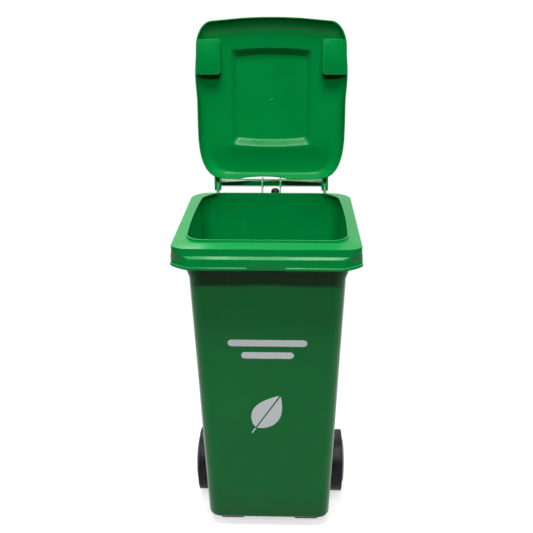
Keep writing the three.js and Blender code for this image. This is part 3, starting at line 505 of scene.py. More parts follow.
def outline_of(ring, breaks=(), side_steps=0):
    """Points round a level outline, anticlockwise, with extra ones at places along X and evenly
    along each side."""
    ends = {
        -1: (ring.front, ring.front_corner, ring.front_bow),
        1: (ring.rear, ring.rear_corner, ring.rear_bow),
    }
    low, high = ring.front + ring.front_corner[1], ring.rear - ring.rear_corner[1]
    sides = [mix(low, high, i / side_steps) for i in range(1, side_steps)]
    points = []
    for side, end in ((1, -1), (1, 1), (-1, 1), (-1, -1)):
        edge, size, bow = ends[end]
        corner = [(x, bow + y * (size[1] - bow) / size[1]) for x, y in corner_of(size)]
        placed = [Vector((side * (ring.half - x), edge - end * y, ring.z)) for x, y in corner]
        if side * end < 0:
            points += placed[::-1]
            points += [Vector((side * ring.half, y, ring.z)) for y in sides[::-end]]
            continue
        points += placed
        straight = ring.half - size[0]
        for x in sorted(breaks, reverse=end > 0):
            y = edge - end * bow * min(1, abs(x) / straight) ** 2
            points.append(Vector((x, y, ring.z)))
    for point in points:
        along = share_of(point.y, ring.front, ring.rear)
        point.x *= 1 - (ring.taper * along + ring.bow * (2 * along - 1) ** 2) / ring.half
    return points


def start_loop(name, points, fill="NGON"):
    start_clean()
    bpy.ops.mesh.primitive_circle_add(vertices=len(points), radius=1, fill_type=fill)
    piece = name_piece(name)
    for vertex, point in zip(piece.data.vertices, points):
        vertex.co = point
    return piece


def move_end(was, now):
    """Moves the picked end of a tower from the points it had to new ones."""
    mesh = bmesh.from_edit_mesh(bpy.context.object.data)
    for vertex in mesh.verts:
        if vertex.select:
            number = min(range(len(was)), key=lambda i: (was[i] - vertex.co).length_squared)
            vertex.co = now[number]
    bmesh.update_edit_mesh(bpy.context.object.data)


def build_tower(name, rings, breaks=(), side_steps=0):
    return build_stack(name, [outline_of(ring, breaks, side_steps) for ring in rings])


def build_stack(name, outlines):
    piece = start_loop(name, outlines[0])
    edit()
    for was, now in zip(outlines, outlines[1:]):
        bpy.ops.mesh.extrude_region_move()
        move_end(was, now)
    leave()
    face_outwards(piece)
    return piece


def build_box(name, x, y, z):
    """Box between pairs of places along each axis."""
    start_clean()
    bpy.ops.mesh.primitive_cube_add(size=1)
    piece = name_piece(name)
    middle = Vector((sum(x), sum(y), sum(z))) / 2
    sizes = [abs(pair[1] - pair[0]) for pair in (x, y, z)]
    piece.data.transform(Matrix.Translation(middle) @ Matrix.Diagonal((*sizes, 1)))
    return piece


def pull(piece, offset):
    """Pulls the whole piece along an offset, so that a flat face becomes a block."""
    edit()
    bpy.ops.mesh.extrude_region_move(TRANSFORM_OT_translate={"value": offset})
    leave()
    face_outwards(piece)


def build_plate(name, outline, start_x, end_x):
    """Upright plate: an outline in y and z, with its thickness along X."""
    piece = start_loop(name, [Vector((start_x, y, z)) for y, z in outline])
    pull(piece, (end_x - start_x, 0, 0))
    return piece


def arc(y, z, radius, start, end, steps=ARC_STEPS):
    """Points of an arc in y and z, with angles in degrees from +Y towards +Z."""
    turns = [math.radians(mix(start, end, i / steps)) for i in range(steps + 1)]
    return [(y + radius * math.cos(t), z + radius * math.sin(t)) for t in turns]


def build_turned(name, profile, line, steps=TURN_STEPS, side=1):
    """Turned piece about a line along X, from a profile of pairs of x and radius."""
    y, z = line
    points = [Vector((side * x, y, z + radius)) for x, radius in profile]
    piece = start_loop(name, points, "NOTHING")
    mesh = edit()
    if profile[0][1] == 0:
        mesh.verts.ensure_lookup_table()
        closing = mesh.edges.get((mesh.verts[0], mesh.verts[-1]))
        mesh.edges.remove(closing)
        bmesh.update_edit_mesh(piece.data)
    bpy.ops.mesh.spin(steps=steps, angle=2 * math.pi, center=(0, y, z), axis=(1, 0, 0))
    leave()
    face_outwards(piece)
    return piece


def copy_mirrored(piece, name):
    take(piece)
    bpy.ops.object.duplicate()
    twin = name_piece(name)
    twin.data.transform(Matrix.Scale(-1, 4, (1, 0, 0)))
    face_outwards(twin)
    return twin


def combine(piece, tool, operation="DIFFERENCE"):
    """Cuts a piece by a tool, which is used up."""
    apply_modifier(piece, "BOOLEAN", object=tool, operation=operation, solver="EXACT")
    bpy.data.objects.remove(tool)


def join_pieces(name, pieces):
    take(pieces[0])
    for piece in pieces:
        piece.select_set(True)
    bpy.ops.object.join()
    return name_piece(name)


# Tub and rim
def tub_front(z):
    return mix(BASE_FRONT, SHOULDER_FRONT, share_of(z, BASE_Z, SHOULDER_Z))


def tub_rear(z):
    if z >= RECESS_TOP:
        return mix(RECESS_REAR, TOP_REAR, share_of(z, RECESS_TOP, DECK_Z))
    if z <= RECESS_BOTTOM:
        return FOOT_REAR
    return mix(FOOT_REAR, RECESS_REAR, smooth(share_of(z, RECESS_BOTTOM, RECESS_TOP)))


def rounded(radius):
    return (radius, radius, 2)


def tub_ring(z, inset):
    up = share_of(z, BASE_Z, SHOULDER_Z)
    corner = rounded(mix(BASE_CORNER, SHOULDER_CORNER, up) - min(inset, WALL))
    half = mix(BASE_HALF, SHOULDER_HALF, up) - inset
    return Ring(half, tub_front(z) + inset, tub_rear(z) - inset, corner, corner, z)


def tub_rings(bottom, inset):
    rings = []
    for step in range(FILLET_STEPS + 1):
        turn = step / FILLET_STEPS * math.pi / 2
        rise = BASE_FILLET * (1 - math.cos(turn))
        rings.append(tub_ring(bottom + rise, inset + BASE_FILLET * (1 - math.sin(turn))))
    for step in range(RECESS_STEPS + 1):
        rings.append(tub_ring(mix(RECESS_BOTTOM, RECESS_TOP, step / RECESS_STEPS), inset))
    rings.append(tub_ring(SHOULDER_Z, inset))
    return rings


def collar_ring(z, inset):
    corner = rounded(COLLAR_CORNER - inset)
    front, rear = tub_front(z) + inset, tub_rear(z) - inset
    return Ring(COLLAR_HALF - inset, front, rear, corner, corner, z, LIP_TAPER / 2, LIP_BOW / 2)


def skirt_rings():
    places = [
        (SKIRT_BOTTOM, 0, 0, LOWER_CORNER),
        (SKIRT_BOTTOM + BEAD_HEIGHT, 0, 0, LOWER_CORNER),
        (SKIRT_BOTTOM + BEAD_HEIGHT + EDGE_ROUND, BEAD_STEP, BEAD_SIDE_STEP, LOWER_CORNER),
        (LEDGE_Z - LEDGE_HEIGHT, BEAD_STEP, BEAD_SIDE_STEP, LOWER_CORNER),
        (LEDGE_Z, BEAD_STEP + LEDGE_STEP, DECK_SIDE_STEP, UPPER_CORNER),
        (DECK_Z, BEAD_STEP + LEDGE_STEP, DECK_SIDE_STEP, UPPER_CORNER),
    ]
    rings = []
    for z, front, side, corner in places:
        rear = RIM_DEPTH + SKIRT_REAR_DRAFT * (1 - share_of(z, SKIRT_BOTTOM, DECK_Z))
        rings.append(Ring(RIM_HALF - side, front, rear, corner, REAR_CORNER, z, RIM_TAPER))
    return rings


def inside_of(ring, wall, z):
    return ring._replace(half=ring.half - wall, front=ring.front + wall, rear=ring.rear - wall, z=z)


def lip_ring(z, inset):
    ahead, behind = rounded(LIP_CORNER - inset), rounded(LIP_REAR_CORNER - inset)
    front, rear = LIP_FRONT + inset, LIP_REAR - inset
    return Ring(LIP_HALF - inset, front, rear, ahead, behind, z, LIP_TAPER, LIP_BOW)


def make_shell():
    under_deck = DECK_Z - DECK_WALL * 2
    skirt = skirt_rings()
    outside = [*tub_rings(BASE_Z, 0), collar_ring(COLLAR_Z, 0), collar_ring(under_deck, 0)]
    top, bottom = skirt[-1], skirt[0]
    channel = [inside_of(top, SKIRT_WALL, under_deck), inside_of(bottom, SKIRT_WALL, bottom.z)]
    mouth = [lip_ring(LIP_FOOT_Z, 0), lip_ring(LIP_Z, 0), lip_ring(LIP_Z, LIP_WALL)]
    hollow = [collar_ring(under_deck, WALL)]
    downwards = tub_rings(BASE_Z + FLOOR_WALL, WALL)[::-1]
    gap = BEAD_GAP_HALF - BEAD_GAP_EASE
    cuts = [-BEAD_GAP_HALF, -gap, gap, BEAD_GAP_HALF]
    rings = [*outside, *channel, *skirt, *mouth, *hollow, *downwards]
    piece = build_tower("bin_shell", rings, breaks=cuts, side_steps=SIDE_STEPS)
    bead_top = skirt[2].z - EDGE_ROUND / 2
    pick(lambda p: abs(p.x) < gap + EDGE_ROUND and p.y < BEAD_STEP / 2 and p.z < bead_top)
    bpy.ops.transform.translate(value=(0, BEAD_STEP, 0))
    leave()
    face_outwards(piece)
    round_edges(piece, EDGE_ROUND)
    finish_piece(piece, "bin", GREEN, ["bin_body"])


def make_gusset(name, x):
    top = DECK_Z - DECK_WALL
    front = SKIRT_WALL / 2 + BEAD_STEP
    outline = [
        (front + LEDGE_STEP, top),
        (front + LEDGE_STEP, LEDGE_Z),
        (front, LEDGE_Z - LEDGE_HEIGHT),
        (front, SKIRT_BOTTOM + BEAD_HEIGHT * 2),
        (tub_front(SKIRT_BOTTOM) - GUSSET_WAIST, SKIRT_BOTTOM),
        (tub_front(GUSSET_TIP_Z) - GUSSET_WALL, GUSSET_TIP_Z),
        (tub_front(GUSSET_TIP_Z) + WALL / 2, GUSSET_TIP_Z),
        (tub_front(top) + WALL / 2, top),
    ]
    piece = build_plate(name, outline, *around(x, GUSSET_WALL))
    finish_piece(piece)


def make_foot(name, x):
    def ring(z, grow):
        corner = rounded(FOOT_TAPER + grow)
        rear = FOOT_FRONT + FOOT_DEPTH + grow
        return Ring(FOOT_WIDTH / 2 + grow, FOOT_FRONT - grow, rear, corner, corner, z)

    piece = build_tower(name, [ring(0, 0), ring(BASE_Z + FLOOR_WALL / 2, FOOT_TAPER)])
    shift(piece, (x, 0, 0))
    round_edges(piece, EDGE_ROUND)
    finish_piece(piece)


# Print
def on_wall(x, z, off):
    lean = math.atan2(SHOULDER_FRONT - BASE_FRONT, SHOULDER_Z - BASE_Z)
    return Vector((x, tub_front(z) - off * math.cos(lean), z + off * math.sin(lean)))


def build_print(name, outline):
    """Thin film on the front wall, from an outline in x and z."""
    near = [on_wall(x, z, PRINT_GAP) for x, z in outline]
    far = [on_wall(x, z, PRINT_GAP + PRINT_WALL) for x, z in outline]
    return build_stack(name, [near, far])


def make_print_bar(number, z, width):
    radius = PRINT_BAR_HEIGHT / 2
    reach = width / 2 - radius
    outline = [*arc(reach, z, radius, -90, 90), *arc(-reach, z, radius, 90, 270)]
    finish_piece(build_print(f"print_bar_{number}", outline), "bin", PRINT)


def make_leaf():
    """Leaf of two halves beside a bare vein, and its stem."""
    lean = math.radians(LEAF_LEAN)
    across, along = math.cos(lean), math.sin(lean)

    def lay(x, z):
        return x * across - z * along, LEAF_MIDDLE + x * along + z * across

    parts = []
    for side in (-1, 1):
        edge = [(side * LEAF_VEIN / 2, -LEAF_LENGTH / 2), (side * LEAF_VEIN / 2, LEAF_LENGTH / 2)]
        for step in range(1, LEAF_STEPS):
            up = 1 - step / LEAF_STEPS
            width = LEAF_HALF * math.sin(math.pi * up**LEAF_TIP_POWER) ** LEAF_SIDE_POWER
            edge.append((side * (LEAF_VEIN / 2 + width), LEAF_LENGTH * (up - 1 / 2)))
        parts.append(build_print("leaf_half", [lay(x, z) for x, z in edge]))
    foot = -LEAF_LENGTH / 2 + LEAF_VEIN
    stem = [
        (-LEAF_VEIN / 2, foot - STEM_LENGTH), (LEAF_VEIN / 2, foot - STEM_LENGTH),
        (LEAF_VEIN / 2, foot - LEAF_VEIN * 2), (-LEAF_VEIN / 2, foot - LEAF_VEIN * 2),
    ]
    parts.append(build_print("leaf_stem", [lay(x, z) for x, z in stem]))
    finish_piece(join_pieces("leaf_sign", parts), "bin", PRINT)


# Hinge pieces of the bin
def on_stop(along, off):
    """Point on the face that the open lid leans on, counted up from the hinge line."""
    lean = math.radians(OPEN_ANGLE - 90)
    out = LID_TOP_Z - HINGE_Z + STOP_GAP + off
    y = HINGE_Y + along * math.sin(lean) + out * math.cos(lean)
    return y, HINGE_Z + along * math.cos(lean) - out * math.sin(lean)


def upright_outline(*above):
    """Outline of an ear or web: the tub's wall, the bar, the given points and the deck."""
    wall, deck = TOP_REAR - WALL / 2, DECK_Z - EDGE_ROUND
    return [(wall, EAR_FOOT_Z), (BAR_MIDDLE, BAR_Z), *above, (RIM_DEPTH, deck), (wall, deck)]


def make_ear(name, side):
    outline = upright_outline(
        (BAR_MIDDLE, BAR_FRONT_TOP),
        on_stop(ARM_TOP_END * 2, ARM_TOP_WALL * 2),
        on_stop(ARM_TOP_END * 2, 0),
        on_stop(ARM_TOP_END / 2, 0),
        *arc(*HINGE_LINE, EAR_BOSS_RADIUS, 0, EAR_BOSS_END),
    )
    piece = build_plate(name, outline, side * EAR_INNER_X, side * EAR_OUTER_X)
    round_edges(piece, EDGE_ROUND / 2, 2)
    finish_piece(piece)


def make_web(name, x):
    outline = upright_outline(
        (BAR_MIDDLE, BAR_REAR_TOP),
        (BAR_FRONT, WEB_TOP_Z),
        (BAR_FRONT - WEB_BOSS_RADIUS, WEB_TOP_Z),
        *arc(*HINGE_LINE, WEB_BOSS_RADIUS, 90, 180),
    )
    piece = build_plate(name, outline, *around(x, WEB_WALL))
    finish_piece(piece)


def make_shelf():
    places = (TOP_REAR - WALL / 2, SHELF_REAR)
    piece = build_box("shelf", (-WEB_X, WEB_X), places, (SHELF_Z - SHELF_WALL, SHELF_Z))
    round_edges(piece, EDGE_ROUND / 2, 2)
    finish_piece(piece)


def bar_section(x):
    half = EAR_INNER_X + WALL / 2
    arch = BAR_ARCH * (1 - (x / half) ** 2)
    front_top = BAR_FRONT_TOP + arch
    rear_top = max(BAR_REAR_TOP, front_top)
    lean = math.degrees(math.atan2(rear_top - front_top, BAR_REAR - BAR_FRONT))
    front, rear, low = BAR_FRONT + BAR_ROUND, BAR_REAR - BAR_ROUND, BAR_Z + BAR_ROUND
    corners = [
        (rear, low, -90, 0),
        (rear, rear_top - BAR_ROUND, 0, 90 + lean),
        (front, front_top - BAR_ROUND, 90 + lean, 180),
        (front, low, 180, 270),
    ]
    section = []
    for y, z, start, end in corners:
        section += arc(y, z, BAR_ROUND, start, end, BAR_ROUND_STEPS)
    return [Vector((x, y, z)) for y, z in section]


def make_bar():
    half = EAR_INNER_X + WALL / 2
    places = [mix(-half, half, i / BAR_STATIONS) for i in range(BAR_STATIONS + 1)]
    bar = build_stack("grip_bar", [bar_section(x) for x in places])
    ribs = [bar]
    depth = (BAR_FRONT + RIB_INSET, BAR_REAR - RIB_INSET)
    count = int(EAR_INNER_X / RIB_PITCH)
    for number in range(-count + 1, count):
        width = around(number * RIB_PITCH, RIB_WALL)
        ribs.append(build_box("rib", width, depth, (BAR_Z - RIB_DROP, BAR_Z + BAR_ROUND)))
    piece = join_pieces("grip_bar", ribs)
    face_outwards(piece)
    finish_piece(piece)


def make_bracket(name, inner, outer):
    wall_rear = FOOT_REAR - WALL / 2
    outline = [
        (wall_rear, AXLE_Z - BRACKET_SPAN / 2),
        *arc(*AXLE_LINE, BRACKET_RADIUS, -90, 90, BOSS_STEPS),
        (wall_rear, AXLE_Z + BRACKET_SPAN / 2),
    ]
    piece = build_plate(name, outline, inner, outer)
    round_edges(piece, EDGE_ROUND / 2, 2)
    finish_piece(piece)


# Lid, modelled closed and turned open when it is finished
def turn_open(piece):
    hinge = Matrix.Translation((0, *HINGE_LINE))
    piece.data.transform(hinge @ rotation(-OPEN_ANGLE, "X") @ hinge.inverted())


def lid_ring(up, inset):
    turn = up * math.pi / 2
    inwards = 1 - math.cos(turn)
    return Ring(
        LID_HALF - LID_SHOULDER_SIDE * inwards - inset,
        LID_FRONT + LID_SHOULDER_FRONT * inwards + inset,
        LID_REAR - LID_SHOULDER_REAR * inwards - inset,
        LID_FRONT_CORNER,
        LID_REAR_CORNER,
        LID_EDGE_Z + (LID_TOP_Z - LID_EDGE_Z - inset) * math.sin(turn),
        front_bow=LID_FRONT_BOW,
    )


def panel_ring(rise, drop):
    corner = rounded(PANEL_CORNER)
    return Ring(
        PANEL_HALF - PANEL_SIDE_BEVEL * rise,
        PANEL_FRONT + PANEL_FRONT_BEVEL * rise,
        PANEL_REAR - PANEL_REAR_BEVEL * rise,
        corner,
        corner,
        LID_TOP_Z - drop + PANEL_RISE * rise,
        front_bow=PANEL_BOW,
        rear_bow=PANEL_BOW,
    )


def shape_lid(point):
    """Crowns the plate, lifts it behind the panel and lets its sides swell beside the pockets."""
    up = min(1, share_of(point.z, LID_EDGE_Z, LID_TOP_Z - LID_WALL))
    ahead = max(0, LID_CREST - point.y) / LID_CROWN_REACH
    behind = max(0, share_of(point.y, PANEL_REAR, LID_REAR - LID_SHOULDER_REAR))
    point.z += up * (LID_REAR_LIFT * behind - LID_CROWN * ahead**2)
    along = share_of(point.y, SWELL_FRONT, SWELL_REAR)
    if 0 < along < 1 and abs(point.x) > PANEL_HALF:
        point.x += math.copysign(SWELL * math.sin(along * math.pi) ** 2 * (1 - up), point.x)


def eased(t, ease):
    """Straight slope with a soft start and end."""
    if t < ease:
        return t * t / (2 * ease * (1 - ease))
    if t > 1 - ease:
        return 1 - eased(1 - t, ease)
    return (t - ease / 2) / (1 - ease)


def plate_between(edge, panel, away):
    """Outline on the plate, hollowed behind the panel, where it is steepest beside the panel."""
    hollow = LID_REAR_LIFT * (1 - (1 - away) ** LID_REAR_HOLLOW - away)
    points = []
    for outer, inner in zip(edge, panel):
        point = inner.lerp(outer, away)
        behind = max(0, share_of(point.y, PANEL_REAR, LID_REAR - LID_SHOULDER_REAR))
        point.z += hollow * min(1, behind / away)
        points.append(point)
    return points


def lid_skin(inset):
    """Outlines of one skin of the lid, from its free edge up to the face of the panel."""
    steps = [i / LID_SHOULDER_STEPS for i in range(LID_SHOULDER_STEPS + 1)]
    rings = [lid_ring(up, inset) for up in steps]
    rings += [panel_ring(step, inset) for step in PANEL_STEPS]
    reach = PANEL_HALF * LID_BREAK_SHARE
    breaks = [mix(-reach, reach, i / LID_BREAKS) for i in range(LID_BREAKS + 1)]
    outlines = [outline_of(ring, breaks, SWELL_STEPS) for ring in rings]
    foot = len(steps)
    for number, outline in enumerate(outlines):
        share = 0 if number < foot else eased(PANEL_STEPS[number - foot], PANEL_EASE)
        for point in outline:
            if number >= foot:
                point.z = LID_TOP_Z - inset
            shape_lid(point)
            point.z = mix(point.z, LID_TOP_Z - inset + PANEL_RISE, share)
    plate = [plate_between(outlines[foot - 1], outlines[foot], away) for away in PLATE_STEPS]
    return [*outlines[:foot], *plate, *outlines[foot:]]


def build_lid_hollow():
    outlines = lid_skin(LID_WALL)
    below = [Vector((point.x, point.y, LID_EDGE_Z - LID_WALL)) for point in outlines[0]]
    return build_stack("hollow", [below, *outlines])


def pad_ring(z, grow):
    corner = rounded(PAD_CORNER)
    half = (RIM_HALF - PAD_INNER_X) / 2 + grow
    return Ring(half, PAD_FRONT - grow, PAD_REAR + grow, corner, corner, z)


def build_pad(side, low, high, shrink):
    """Block over one side of the lid, from its middle out past its edge."""
    piece = build_tower("pad", [pad_ring(low, -shrink), pad_ring(high, PAD_DRAFT - shrink)])
    middle = (RIM_HALF + PAD_INNER_X) / 2
    shift(piece, (side * middle, 0, 0))
    return piece


def build_arch():
    """Tool for the arched opening in the middle of the lid's rear edge."""
    turns = [i / ARCH_STEPS * 2 * math.pi for i in range(ARCH_STEPS)]
    front = LID_REAR - LID_SHOULDER_REAR - ARCH_START
    outline = [
        Vector((ARCH_X + ARCH_HALF * math.cos(t), front, LID_EDGE_Z + ARCH_HEIGHT * math.sin(t)))
        for t in turns
    ]
    tool = start_loop("arch", outline)
    pull(tool, (0, ARCH_REACH, 0))
    return tool


def make_lid():
    outer = lid_skin(0)
    piece = build_stack("lid_shell", [*lid_skin(LID_WALL)[::-1], *outer])
    floor, above = LID_TOP_Z - PAD_DEPTH, LID_TOP_Z + LID_WALL * 2
    for side in (-1, 1):
        combine(piece, build_pad(side, floor, above, LID_WALL))
    combine(piece, build_arch())
    parts = [piece]
    for side in (-1, 1):
        block = build_pad(side, floor - LID_WALL, LID_TOP_Z, 0)
        combine(block, build_stack("solid", outer), "INTERSECT")
        combine(block, build_pad(side, floor, above, LID_WALL))
        parts.append(block)
    piece = join_pieces("lid_shell", parts)
    round_edges(piece, EDGE_ROUND / 2, 2, LID_EDGE_ANGLE)
    turn_open(piece)
    finish_piece(piece, "lid", GREEN, ["lid"], LID_SHADE_ANGLE)


def make_gate():
    """Small mark of the moulding gate, under the middle of the panel."""
    z = LID_TOP_Z + PANEL_RISE - LID_WALL
    start_clean()
    bpy.ops.mesh.primitive_cone_add(
        vertices=GATE_STEPS, radius1=GATE_TIP_RADIUS, radius2=GATE_RADIUS, depth=GATE_HEIGHT
    )
    piece = name_piece("gate_mark")
    shift(piece, (GATE_X, GATE_Y, z - GATE_HEIGHT / 2))
    start_clean()
    around, across = GATE_RING_STEPS
    bpy.ops.mesh.primitive_torus_add(
        major_radius=GATE_RING,
        minor_radius=GATE_RING_WALL,
        major_segments=around,
        minor_segments=across,
    )
    ring = name_piece("gate_ring")
    shift(ring, (GATE_X, GATE_Y, z))
    piece = join_pieces("gate_mark", [piece, ring])
    face_outwards(piece)
    turn_open(piece)
    finish_piece(piece, "lid")


def make_arm(name, side):
    root, end = LID_REAR - ARM_ROOT, HINGE_Y - ARM_TOP_END
    outline = [
        (LID_REAR - LID_SHOULDER_REAR, HINGE_Z - ARM_BOSS_RADIUS),
        *arc(*HINGE_LINE, ARM_BOSS_RADIUS, -90, 90, BOSS_STEPS),
        (end, LID_TOP_Z),
        (root, LID_TOP_Z),
    ]
    near, far = side * ARM_INNER_X, side * ARM_OUTER_X
    inner = build_plate("inner_cheek", outline, near, side * (ARM_INNER_X + CHEEK_WALL))
    outer = build_plate("outer_cheek", outline, side * (ARM_OUTER_X - CHEEK_WALL), far)
    top = build_box("arm_top", (near, far), (root, end), (LID_TOP_Z - ARM_TOP_WALL, LID_TOP_Z))
    for part in (inner, outer, top):
        combine(part, build_lid_hollow())
    head = PIN_HEAD_RADIUS + SEAT_GAP
    seat, open_end = ARM_OUTER_X - PIN_HEAD_WALL - SEAT_GAP, ARM_OUTER_X + SEAT_GAP
    places = [(seat, 0), (seat, head), (open_end, head), (open_end, 0)]
    combine(outer, build_turned("head_seat", places, HINGE_LINE, PIN_STEPS, side))
    piece = join_pieces(name, [inner, outer, top])
    face_outwards(piece)
    turn_open(piece)
    finish_piece(piece, "lid")


# Hinge hardware
def make_pin(hand, side):
    """Pin through one arm and its ear, with a flat head let into the arm's outer cheek."""
    seat = ARM_OUTER_X - PIN_HEAD_WALL
    profile = [
        (PIN_TIP_X, 0), (PIN_TIP_X, PIN_RADIUS - PIN_EASE), (PIN_TIP_X + PIN_EASE, PIN_RADIUS),
        (seat, PIN_RADIUS), (seat, PIN_HEAD_RADIUS),
        (ARM_OUTER_X - PIN_EASE / 2, PIN_HEAD_RADIUS),
        (ARM_OUTER_X, PIN_HEAD_RADIUS - PIN_EASE / 2), (ARM_OUTER_X, 0),
    ]
    piece = build_turned(f"{hand}_pin", profile, HINGE_LINE, PIN_STEPS, side)
    finish_piece(piece, "bin", BLACK, [f"{hand}_hinge_pin"])


def make_dome():
    crown = DOME_HEIGHT - DOME_UPRIGHT
    points = [(0, 0), (0, DOME_RADIUS)]
    for out, up in arc(0, 0, 1, 0, 90, DOME_STEPS):
        points.append((DOME_UPRIGHT + up * crown, DOME_RADIUS * out))
    points[-1] = (DOME_HEIGHT, 0)
    piece = build_turned("rubber_dome", points, (0, 0), PIN_STEPS)
    place = Matrix.Translation((DOME_X, DOME_Y, SHELF_Z + SEAT_GAP))
    piece.data.transform(place @ rotation(-90, "Y"))
    finish_piece(piece, "bin", RUBBER, ["lid_buffer"])


# Wheels and axle
def make_axle():
    half = AXLE_HIGH.x
    ease = AXLE_RADIUS * AXLE_EASE_SHARE
    profile = [(-half, 0), (-half, AXLE_RADIUS - ease), (ease - half, AXLE_RADIUS)]
    profile += [(-x, r) for x, r in profile[::-1]]
    piece = build_turned("axle_bar", profile, AXLE_LINE, AXLE_STEPS)
    finish_piece(piece, "bin", STEEL, ["axle"])


def turn_part(name, side, profile, body, look, node, steps=TURN_STEPS):
    """Turned piece on one side of the axle, which stands for a node."""
    piece = build_turned(name, profile, AXLE_LINE, steps, side)
    finish_piece(piece, body, look, [node])


def make_bush(hand, side):
    inner = BRACKET_OUTER_X - BRACKET_WIDTH
    flange = BRACKET_OUTER_X + SEAT_GAP
    end = flange + BUSH_FLANGE_WALL
    profile = [
        (inner, AXLE_BORE), (inner, BUSH_RADIUS), (flange, BUSH_RADIUS),
        (flange, BUSH_FLANGE), (end, BUSH_FLANGE), (end, AXLE_BORE),
    ]
    turn_part(f"{hand}_bush", side, profile, "bin", GREY, f"{hand}_axle_bush")


def make_spacer(hand, side):
    inner = BRACKET_OUTER_X + BUSH_FLANGE_WALL + SEAT_GAP * 2
    outer = HUB_INNER_X - SEAT_GAP
    places = ((inner, AXLE_BORE), (inner, SPACER_RADIUS), (outer, SPACER_RADIUS), (outer, AXLE_BORE))
    turn_part(f"{hand}_sleeve", side, places, "bin", GREY, f"{hand}_spacer")


def make_hub(hand, side):
    rim_inner = TYRE_LOW.x + HUB_INSET
    rim_outer = TYRE_HIGH.x - HUB_INSET
    web = (HUB_INNER_X + HUB_OUTER_X - HUB_WEB) / 2
    profile = [
        (HUB_INNER_X, AXLE_BORE), (HUB_INNER_X, HUB_BOSS), (web, HUB_BOSS), (web, HUB_BORE),
        (rim_inner, HUB_BORE), (rim_inner, HUB_RADIUS), (rim_outer, HUB_RADIUS),
        (rim_outer, HUB_BORE), (web + HUB_WEB, HUB_BORE), (web + HUB_WEB, HUB_BOSS),
        (HUB_OUTER_X, HUB_BOSS), (HUB_OUTER_X, AXLE_BORE),
    ]
    name, node = f"{hand}_wheel_centre", f"{hand}_hub"
    turn_part(name, side, profile, f"{hand}_wheel", BLACK, node)


def make_tyre():
    inner, outer = TYRE_LOW.x, TYRE_HIGH.x
    base = TYRE_RADIUS - TREAD_DEPTH
    wall = TYRE_RADIUS - TYRE_SHOULDER
    profile = [
        (inner + HUB_INSET, TYRE_SEAT), (inner, TYRE_SEAT + TYRE_SHOULDER), (inner, wall),
        (inner + TYRE_EASE, base - EDGE_ROUND / 2), (inner + TYRE_SHOULDER, base),
        (outer - TYRE_SHOULDER, base), (outer - TYRE_EASE, base - EDGE_ROUND / 2),
        (outer, wall), (outer, TYRE_SEAT + TYRE_SHOULDER), (outer - HUB_INSET, TYRE_SEAT),
    ]
    ring = build_turned("tyre", profile, AXLE_LINE, TYRE_STEPS)
    pitch = (outer - inner) / TREAD_COLUMNS
    row = 2 * math.pi * TYRE_RADIUS / TREAD_ROWS
    places = [inner + pitch * (column + 1 / 2) for column in range(TREAD_COLUMNS)]
    depth = around(AXLE_Y, row * TREAD_SHARE)
    height = (AXLE_Z + base - EDGE_ROUND, AXLE_Z + TYRE_RADIUS)
    blocks = [build_box("block", around(x, pitch * TREAD_SHARE), depth, height) for x in places]
    tread = join_pieces("tread", blocks)
    pick(lambda p: p.z > AXLE_Z + base)
    bpy.ops.transform.resize(value=(1, TREAD_TAPER, 1))
    bpy.ops.mesh.select_all(action="SELECT")
    bpy.ops.mesh.spin(
        steps=TREAD_ROWS, dupli=True, angle=2 * math.pi, center=(0, *AXLE_LINE), axis=(1, 0, 0)
    )
    leave()
    piece = join_pieces("right_tyre_tread", [ring, tread])
    face_outwards(piece)
    twin = copy_mirrored(piece, "left_tyre_tread")
    finish_piece(piece, "right_wheel", RUBBER, ["right_tyre"])
    finish_piece(twin, "left_wheel", RUBBER, ["left_tyre"])


def make_nut(hand, side):
    inner = HUB_OUTER_X + SEAT_GAP
    profile = [
        (inner, AXLE_BORE), (inner, NUT_RADIUS), (inner + NUT_WALL / 2, NUT_RADIUS),
        (inner + NUT_WALL, AXLE_BORE),
    ]
    turn_part(f"{hand}_nut", side, profile, "bin", STEEL, f"{hand}_push_nut")


def make_cover(hand, side):
    radius = (COVER_HIGH.z - COVER_LOW.z) / 2
    face = COVER_HIGH.x
    low = face - COVER_STEP
    seat = TYRE_HIGH.x - HUB_INSET + SEAT_GAP
    spigot = HUB_BORE - SEAT_GAP * 2
    profile = [
        (face - COVER_WALL, 0), (face - COVER_WALL, spigot / 2),
        (seat + COVER_WALL / 2, spigot - COVER_WALL), (COVER_LOW.x, spigot - COVER_WALL),
        (COVER_LOW.x, spigot), (seat, spigot), (seat, radius), (seat + COVER_WALL, radius),
    ]
    for x, share in zip((low, face, face, low, low, face), COVER_RING_SHARES):
        profile.append((x, radius * share))
    profile.append((face, 0))
    name, node = f"{hand}_cover", f"{hand}_wheel_cover"
    turn_part(name, side, profile, f"{hand}_wheel", BLACK, node, COVER_STEPS)


# Materials
def new_material(name):
    material = bpy.data.materials.new(name)
    material.use_nodes = True
    return material, material.node_tree, material.node_tree.nodes["Principled BSDF"]


def feed(tree, node, inputs):
    """Gives each input a value or the output of another node."""
    for key, value in inputs.items():
        if isinstance(value, bpy.types.NodeSocket):
            tree.links.new(value, node.inputs[key])
        else:
            node.inputs[key].default_value = value


def add_node(tree, kind, inputs, **settings):
    node = tree.nodes.new(kind)
    for key, value in settings.items():
        setattr(node, key, value)
    feed(tree, node, inputs)
    return node


def add_noise(tree, grain):
    """Noise on the piece's own coordinates, pulled along an axis where its stretch is below 1."""
    place = add_node(tree, "ShaderNodeTexCoord", {}).outputs["Object"]
    mapping = add_node(tree, "ShaderNodeMapping", {"Vector": place, "Scale": grain.stretch})
    sizes = {"Vector": mapping.outputs["Vector"], "Scale": grain.scale, "Detail": grain.detail}
    return add_node(tree, "ShaderNodeTexNoise", sizes).outputs["Fac"]


